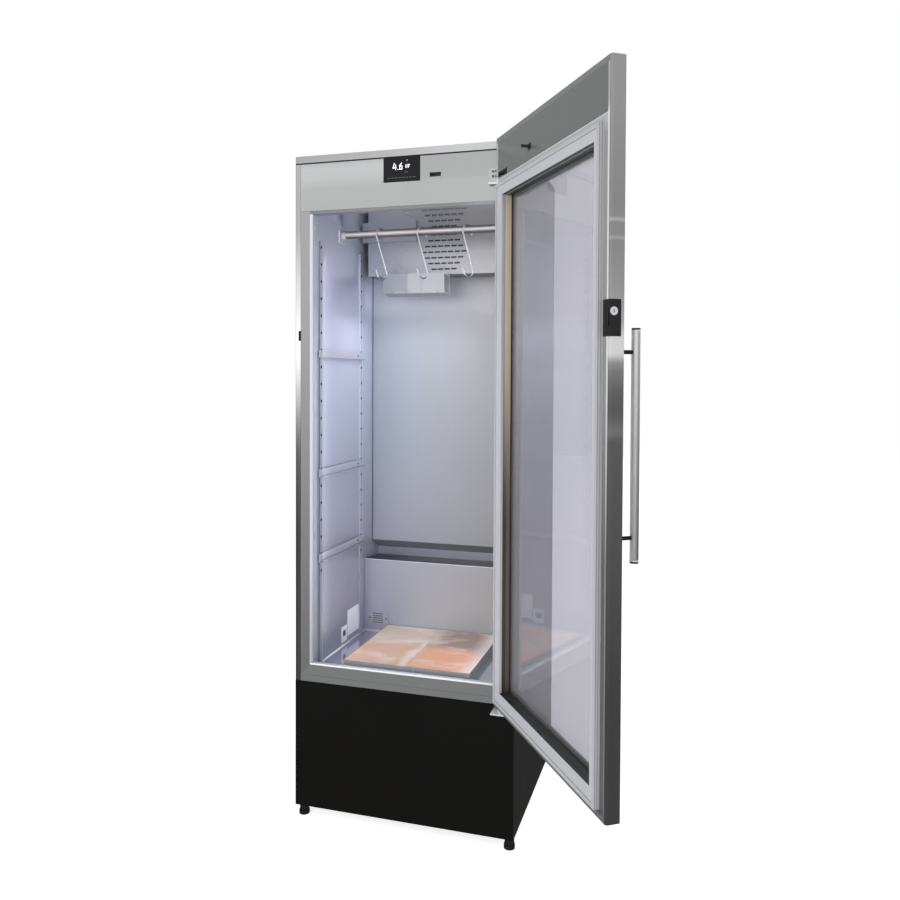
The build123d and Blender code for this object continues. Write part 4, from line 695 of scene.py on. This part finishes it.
dress(fitting_steel, "salt_tray")
joint_x, rim_x = -0.004, 0.202
salt, tree, shader = new_material("rock_salt")
place = wire(tree, "ShaderNodeTexCoord").outputs["Object"]
warp = noise(tree, place, 7.0, 3.0)
shift = wire(tree, "ShaderNodeVectorMath", {0: warp.outputs["Color"], 1: (0.5, 0.5, 0.5)},
             operation="SUBTRACT")
shift = wire(tree, "ShaderNodeVectorMath", {0: shift.outputs[0], "Scale": 0.09}, operation="SCALE")
moved = wire(tree, "ShaderNodeVectorMath", {0: place, 1: shift.outputs[0]}, operation="ADD").outputs[0]
split = wire(tree, "ShaderNodeSeparateXYZ", {0: moved})
to_right = mapped(tree, split.outputs["X"], -0.05, 0.06)
to_back = mapped(tree, split.outputs["Y"], 0.19, 0.25)
near = blended(tree, to_right, (0.68, 0.44, 0.31), (0.8, 0.4, 0.23))
far = blended(tree, to_right, (0.7, 0.56, 0.45), (0.36, 0.25, 0.21))
stretched = wire(tree, "ShaderNodeVectorMath", {0: moved, 1: (7.0, 16.0, 9.0)}, operation="MULTIPLY")
veins = noise(tree, stretched.outputs[0], 1.0, 5.0, 0.55).outputs["Fac"]
milk = mapped(tree, veins, 0.5, 0.72, 0.0, 0.75)
broken = mapped(tree, warp.outputs["Fac"], 0.4, 0.58, 0.35, 1.0, interpolation_type="SMOOTHSTEP")
from_joint = maths(tree, "ABSOLUTE", maths(tree, "SUBTRACT", split.outputs["X"], joint_x))
joint_whitening = maths(tree, "MULTIPLY", mapped(tree, from_joint, 0.003, 0.02, 0.75, 0.0), broken)
rim_whitening = mapped(tree, split.outputs["X"], rim_x - 0.05, rim_x, 0.0, 0.8)
white = maths(tree, "MAXIMUM", maths(tree, "MAXIMUM", milk, joint_whitening), rim_whitening)
grit = noise(tree, place, 260.0, 3.0).outputs["Fac"]
connect(tree, shader,
        Base_Color=blended(tree, white, blended(tree, to_back, near, far), (0.84, 0.78, 0.76)),
        Roughness=mapped(tree, veins, 0.3, 0.7, 0.35, 0.55), Normal=relief(tree, grit, 0.25, 0.0006))
dress(salt, "salt_blocks")


# ---------------------------------------------------------------- Door
# A folded pan of stainless steel sheet is filled with foam and closed by flat inner sheets.
# Its latch edge carries painted reflections of the room in bands from top to bottom.

inner_plane = 0.014
inner_face = ("deep", inner_plane - 0.0005, inner_plane + 0.001)

# The inner sheets are painted paler above the window as light, up to a painted highlight along the fold at
# their upper edge.
door_steel = ground_steel("door_steel", (0.2, 0.21, 0.205), (0.25, 0.26, 0.255), down_lines, (0.2, 0.3),
                          metal=0.4)
graded(door_steel, [(0.43, 0.15), (1.0, 0.17), (1.34, 0.4), (1.9, 0.44), (1.925, 0.62), (1.9416, 0.66)],
       ("z", 0.4, 1.9417))
marked(door_steel, (glint, ("z", 1.9395, 1.9417)))
dress(door_steel, "door_inner_sheet")

# The skin shows its narrow inner rim, painted lighter with height and darker at its top as light and shade,
# and its latch edge, with painted reflections in bands and two thin painted highlights above the lock.
edge_steel = ground_steel("edge_steel", (0.5, 0.5, 0.5), (0.56, 0.56, 0.56), down_lines, (0.4, 0.5),
                          metal=0.3)
graded(edge_steel, [(0.43, 0.2), (1.0, 0.3), (1.34, 0.85), (1.94, 0.9), (1.96, 0.5), (2.04, 0.5)], inner_face)
marked(edge_steel, ((0.25, 0.26, 0.255), inner_face, ("z", 2.0445, 2.06)))
graded(edge_steel, [(0.43, 0.055), (0.7, 0.055), (1.02, 0.085), (1.25, 0.1), (1.268, 0.17), (1.31, 0.1),
                    (1.35, 0.11), (1.4, 0.2), (1.418, 0.3), (1.432, 0.68), (1.47, 0.66), (1.5, 0.4),
                    (1.568, 0.3), (1.66, 0.25), (1.674, 0.25), (1.676, 0.5), (1.678, 0.25), (1.714, 0.25),
                    (1.716, 0.5), (1.718, 0.25), (1.755, 0.24), (1.96, 0.29), (2.059, 0.3)],
       ("along", 0.6472, 0.66))
dress(edge_steel, "door_skin")
# The door's foam is painted dark grey: painted shade where it shows in the hinge pocket.
dress(painted("door_foam_shade", (0.1, 0.1, 0.1), 0.8, 0.3, 300), "door_foam")


# ---------------------------------------------------------------- Window and gasket
# Coated panes are sealed into a raised frame, with a black seal, a golden spacer and a pale rim in layers.
# A grey rubber gasket with two grooves is pressed in round the frame.


def layered(name, upper, lower):
    """Colour by height above the door's inner plane, as the layers of an insulated window show it: one set of
    stops of millimetres and colour for the upper part, and one for the lower, with a soft change between."""
    made, tree, shader = new_material(name)
    height = maths(tree, "MULTIPLY_ADD", measure(tree, "deep"), 1000.0, -1000.0 * inner_plane)
    rise = mapped(tree, measure(tree, "z"), 0.95, 1.55, interpolation_type="SMOOTHSTEP")
    speck = noise(tree, wire(tree, "ShaderNodeTexCoord").outputs["Object"], 90.0).outputs["Fac"]
    tone = blended(tree, rise, colour_ramp(tree, height, lower), colour_ramp(tree, height, upper))
    connect(tree, shader, Base_Color=tone, Roughness=mapped(tree, speck, 0.3, 0.7, 0.28, 0.4))
    return made


# Upper part: black seal, golden spacer and grey rim. Lower part: the same layers, darkened with painted
# shade.
seal_black, gold, pale = (0.015, 0.015, 0.014), (0.6, 0.48, 0.32), (0.52, 0.53, 0.55)
rim_grey, dull_gold, deep_brown = (0.55, 0.55, 0.56), (0.12, 0.1, 0.08), (0.05, 0.042, 0.034)
layers = layered("window_layers",
                 [(-30, seal_black), (-17.4, seal_black), (-15.4, gold), (-4.6, gold), (-3.4, rim_grey),
                  (0.2, rim_grey), (0.8, (0.3, 0.3, 0.31)), (9.8, (0.48, 0.48, 0.5)), (10.4, pale),
                  (14, pale)],
                 [(-30, seal_black), (-16.6, seal_black), (-15.6, dull_gold), (-5.4, dull_gold),
                  (-4.6, deep_brown), (4.4, deep_brown), (5.6, pale), (14, pale)])
# Painted shade on the frame's level faces.
marked(layers, ((0.02, 0.024, 0.02), ("level", 0.5, 1.1)))
dress(layers, "window_frame", "window_reveal")

glass, tree, shader = new_material("coated_glass")
haze = noise(tree, wire(tree, "ShaderNodeTexCoord").outputs["Object"], 3.0).outputs["Fac"]
connect(tree, shader, Base_Color=blended(tree, haze, (0.79, 0.785, 0.83), (0.81, 0.805, 0.845)))
shader.inputs["Roughness"].default_value = 0.01
shader.inputs["Transmission Weight"].default_value = 0.855
shader.inputs["IOR"].default_value = 1.33
dress(glass, "glass_panes")

gasket_rubber = painted("gasket_rubber", (0.46, 0.46, 0.48), 0.6, 0.08)
# Painted shade in the gasket's two grooves.
marked(gasket_rubber, *[((0.12, 0.12, 0.13), ("deep", inner_plane + rise, inner_plane + rise + 0.001))
                        for rise in (0.005, 0.0112)])
dress(gasket_rubber, "door_gasket")


# ---------------------------------------------------------------- Hinges and screws
# Steel plates are screwed to the cabinet and carry pins that turn in plastic bushes in the door.
# Screws with dark pan heads hold the hinge, the vent plate and the lamp box.

hinge_steel = ground_steel("hinge_steel", (0.62, 0.63, 0.63), (0.68, 0.69, 0.69), level_lines, (0.34, 0.4),
                           bump=0.03)
# A painted highlight along the plate's lower flange.
marked(hinge_steel, (glint, ("z", 1.91, 1.9405)))
dress(hinge_steel, "top_hinge")
dress(hook_steel, "bottom_hinge")
dress(dark_plastic, "hinge_bushes")
dress(mottled("screw_steel", (0.16, 0.16, 0.17), 0.4, 200.0, 0.2, Metallic=0.5), "screws")


# ---------------------------------------------------------------- Handle and lock
# The handle is a finely ground steel tube on two black standoffs, with a thin pale joint at each end cap.
# A black plastic box let into the door's edge holds the steel lock plug, whose keyway has painted shade.

handle_steel = ground_steel("handle_steel", (0.88, 0.89, 0.88), (0.96, 0.97, 0.96), (500, 500, 6),
                            (0.34, 0.44), bump=0.05)
dress(handle_steel, "handle_tube")
cap_joint, joint_grey = 0.003, (0.6, 0.61, 0.6)
tube_low, tube_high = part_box("handle_tube")
fitting_plastic = painted("fitting_plastic", (0.01, 0.01, 0.011), 0.45, 0.1, gloss=0.3)
marked(fitting_plastic, (joint_grey, ("z", tube_low.z - cap_joint, tube_low.z)),
       (joint_grey, ("z", tube_high.z, tube_high.z + cap_joint)))
dress(fitting_plastic, "handle_fittings")
plug_steel = ground_steel("plug_steel", (0.72, 0.72, 0.73), (0.82, 0.82, 0.83), all_ways, (0.1, 0.22),
                          bump=0.03, clouds=6.0)
# Painted shade in the keyway.
marked(plug_steel, ((0.02, 0.02, 0.02), ("deep", 0.0032, 0.0052), ("z", 1.5205, 1.5275)))
dress(plug_steel, "lock_plug")
dress(dark_plastic, "lock_housing")


# ---------------------------------------------------------------- Display and door switch
# The display is a black glass front, let into the header, with lit white figures and a faint row of keys.
# Beside it is the plastic door switch, which a black finger on the door presses.

dress(painted("switch_plastic", (0.2, 0.202, 0.2), 0.45, 0.1, gloss=0.3), "door_switch")
dress(mottled("finger_black", (0.02, 0.02, 0.022), 0.4, 200.0, 0.2), "switch_finger")
dress(painted("display_plastic", (0.007, 0.007, 0.009), 0.2, 0.02, gloss=0.25), "display")
digit_light = mottled("digit_light", (0.9, 0.93, 0.95), 0.5, 200.0, 0.02, Emission_Color=(1, 1, 1, 1),
                      Emission_Strength=0.9)
faint_print = mottled("faint_print", (0.1, 0.105, 0.11), 0.5, 200.0, 0.1)
screen_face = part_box("display")[0].y


def lit_strokes(name, strokes, material, width):
    """Flat strokes on the screen: each is a bar along the line between two places across and up it. Its four
    corners lie half a width to each side of that line and half a width beyond each end."""
    strokes = np.array(strokes, float)
    start, end = strokes[:, :2], strokes[:, 2:]
    run = (end - start) / np.linalg.norm(end - start, axis=1)[:, None] * width / 2
    side = np.stack([-run[:, 1], run[:, 0]], 1)
    corners = np.stack([start - side - run, end - side + run, end + side + run, start + side - run], 1)
    depths = screen_face + np.array([0.00025, 0.0005])
    points = np.empty((len(strokes), 2, 4, 3))
    points[..., 0::2] = corners[:, None]
    points[..., 1] = depths[None, :, None]
    box = np.array([(0, 1, 2, 3), (4, 7, 6, 5), (0, 4, 5, 1), (1, 5, 6, 2), (2, 6, 7, 3), (3, 7, 4, 0)])
    faces = box[None] + 8 * np.arange(len(strokes))[:, None, None]
    made = fixed(new_piece(name, points.reshape(-1, 3), faces.reshape(-1, 4)), material)
    made.visible_glossy = False
    return made


lit_strokes("display_digits", [(-0.0235, 2.0165, -0.0275, 2.0035), (-0.0275, 2.0035, -0.0175, 2.0035),
                               (-0.0195, 2.012, -0.0195, 1.998), (-0.0125, 1.9985, -0.0118, 1.9985),
                               (-0.0005, 2.0165, -0.0065, 2.0095), (-0.0065, 2.0095, -0.0065, 1.9985),
                               (-0.0065, 1.9985, 0.0005, 1.9985), (0.0005, 1.9985, 0.0005, 2.0075),
                               (0.0005, 2.0075, -0.0065, 2.0075)], digit_light, 0.002)
lit_strokes("display_unit", [(0.0125, 2.0105, 0.0125, 2.002), (0.0165, 2.0105, 0.0165, 2.002),
                             (0.0205, 2.0105, 0.0205, 2.002), (0.0205, 2.0105, 0.025, 2.0105),
                             (0.0205, 2.006, 0.024, 2.006), (0.016, 2.0235, 0.0162, 2.0245)],
            digit_light, 0.0014)
key_level, key_pitch, key_length = 1.9735, 0.0115, 0.006
key_row = [(x, key_level, x + key_length, key_level) for x in np.arange(-0.044, 0.044, key_pitch)]
lit_strokes("display_keys", key_row + [(0.009, 1.989, 0.018, 1.989)], faint_print, 0.0022)


# ---------------------------------------------------------------- Chamber lamps
# Two tall strips of cold white lamps are set behind the jambs. The lamp box sends light down over the
# chamber and, faintly, onto the false back behind it.

for hand, side in (("left", -1), ("right", 1)):
    soft_lamp(hand + "_chamber_lamp", (0.27 * side, 0.045, 1.15), (-0.1 * side, 0.4, 1.15), (0.04, 1.2), 1.5,
              (0.92, 0.94, 1.0))
soft_lamp("head_lamp", (-0.02, 0.42, 1.62), (-0.02, 0.488, 1.68), (0.5, 0.02), 0.16, (0.97, 0.97, 1.0))
soft_lamp("chamber_lamp", (-0.08, 0.3, 1.6), (-0.05, 0.25, 0.5), (0.25, 0.1), 0.8, (0.95, 0.96, 1.0))
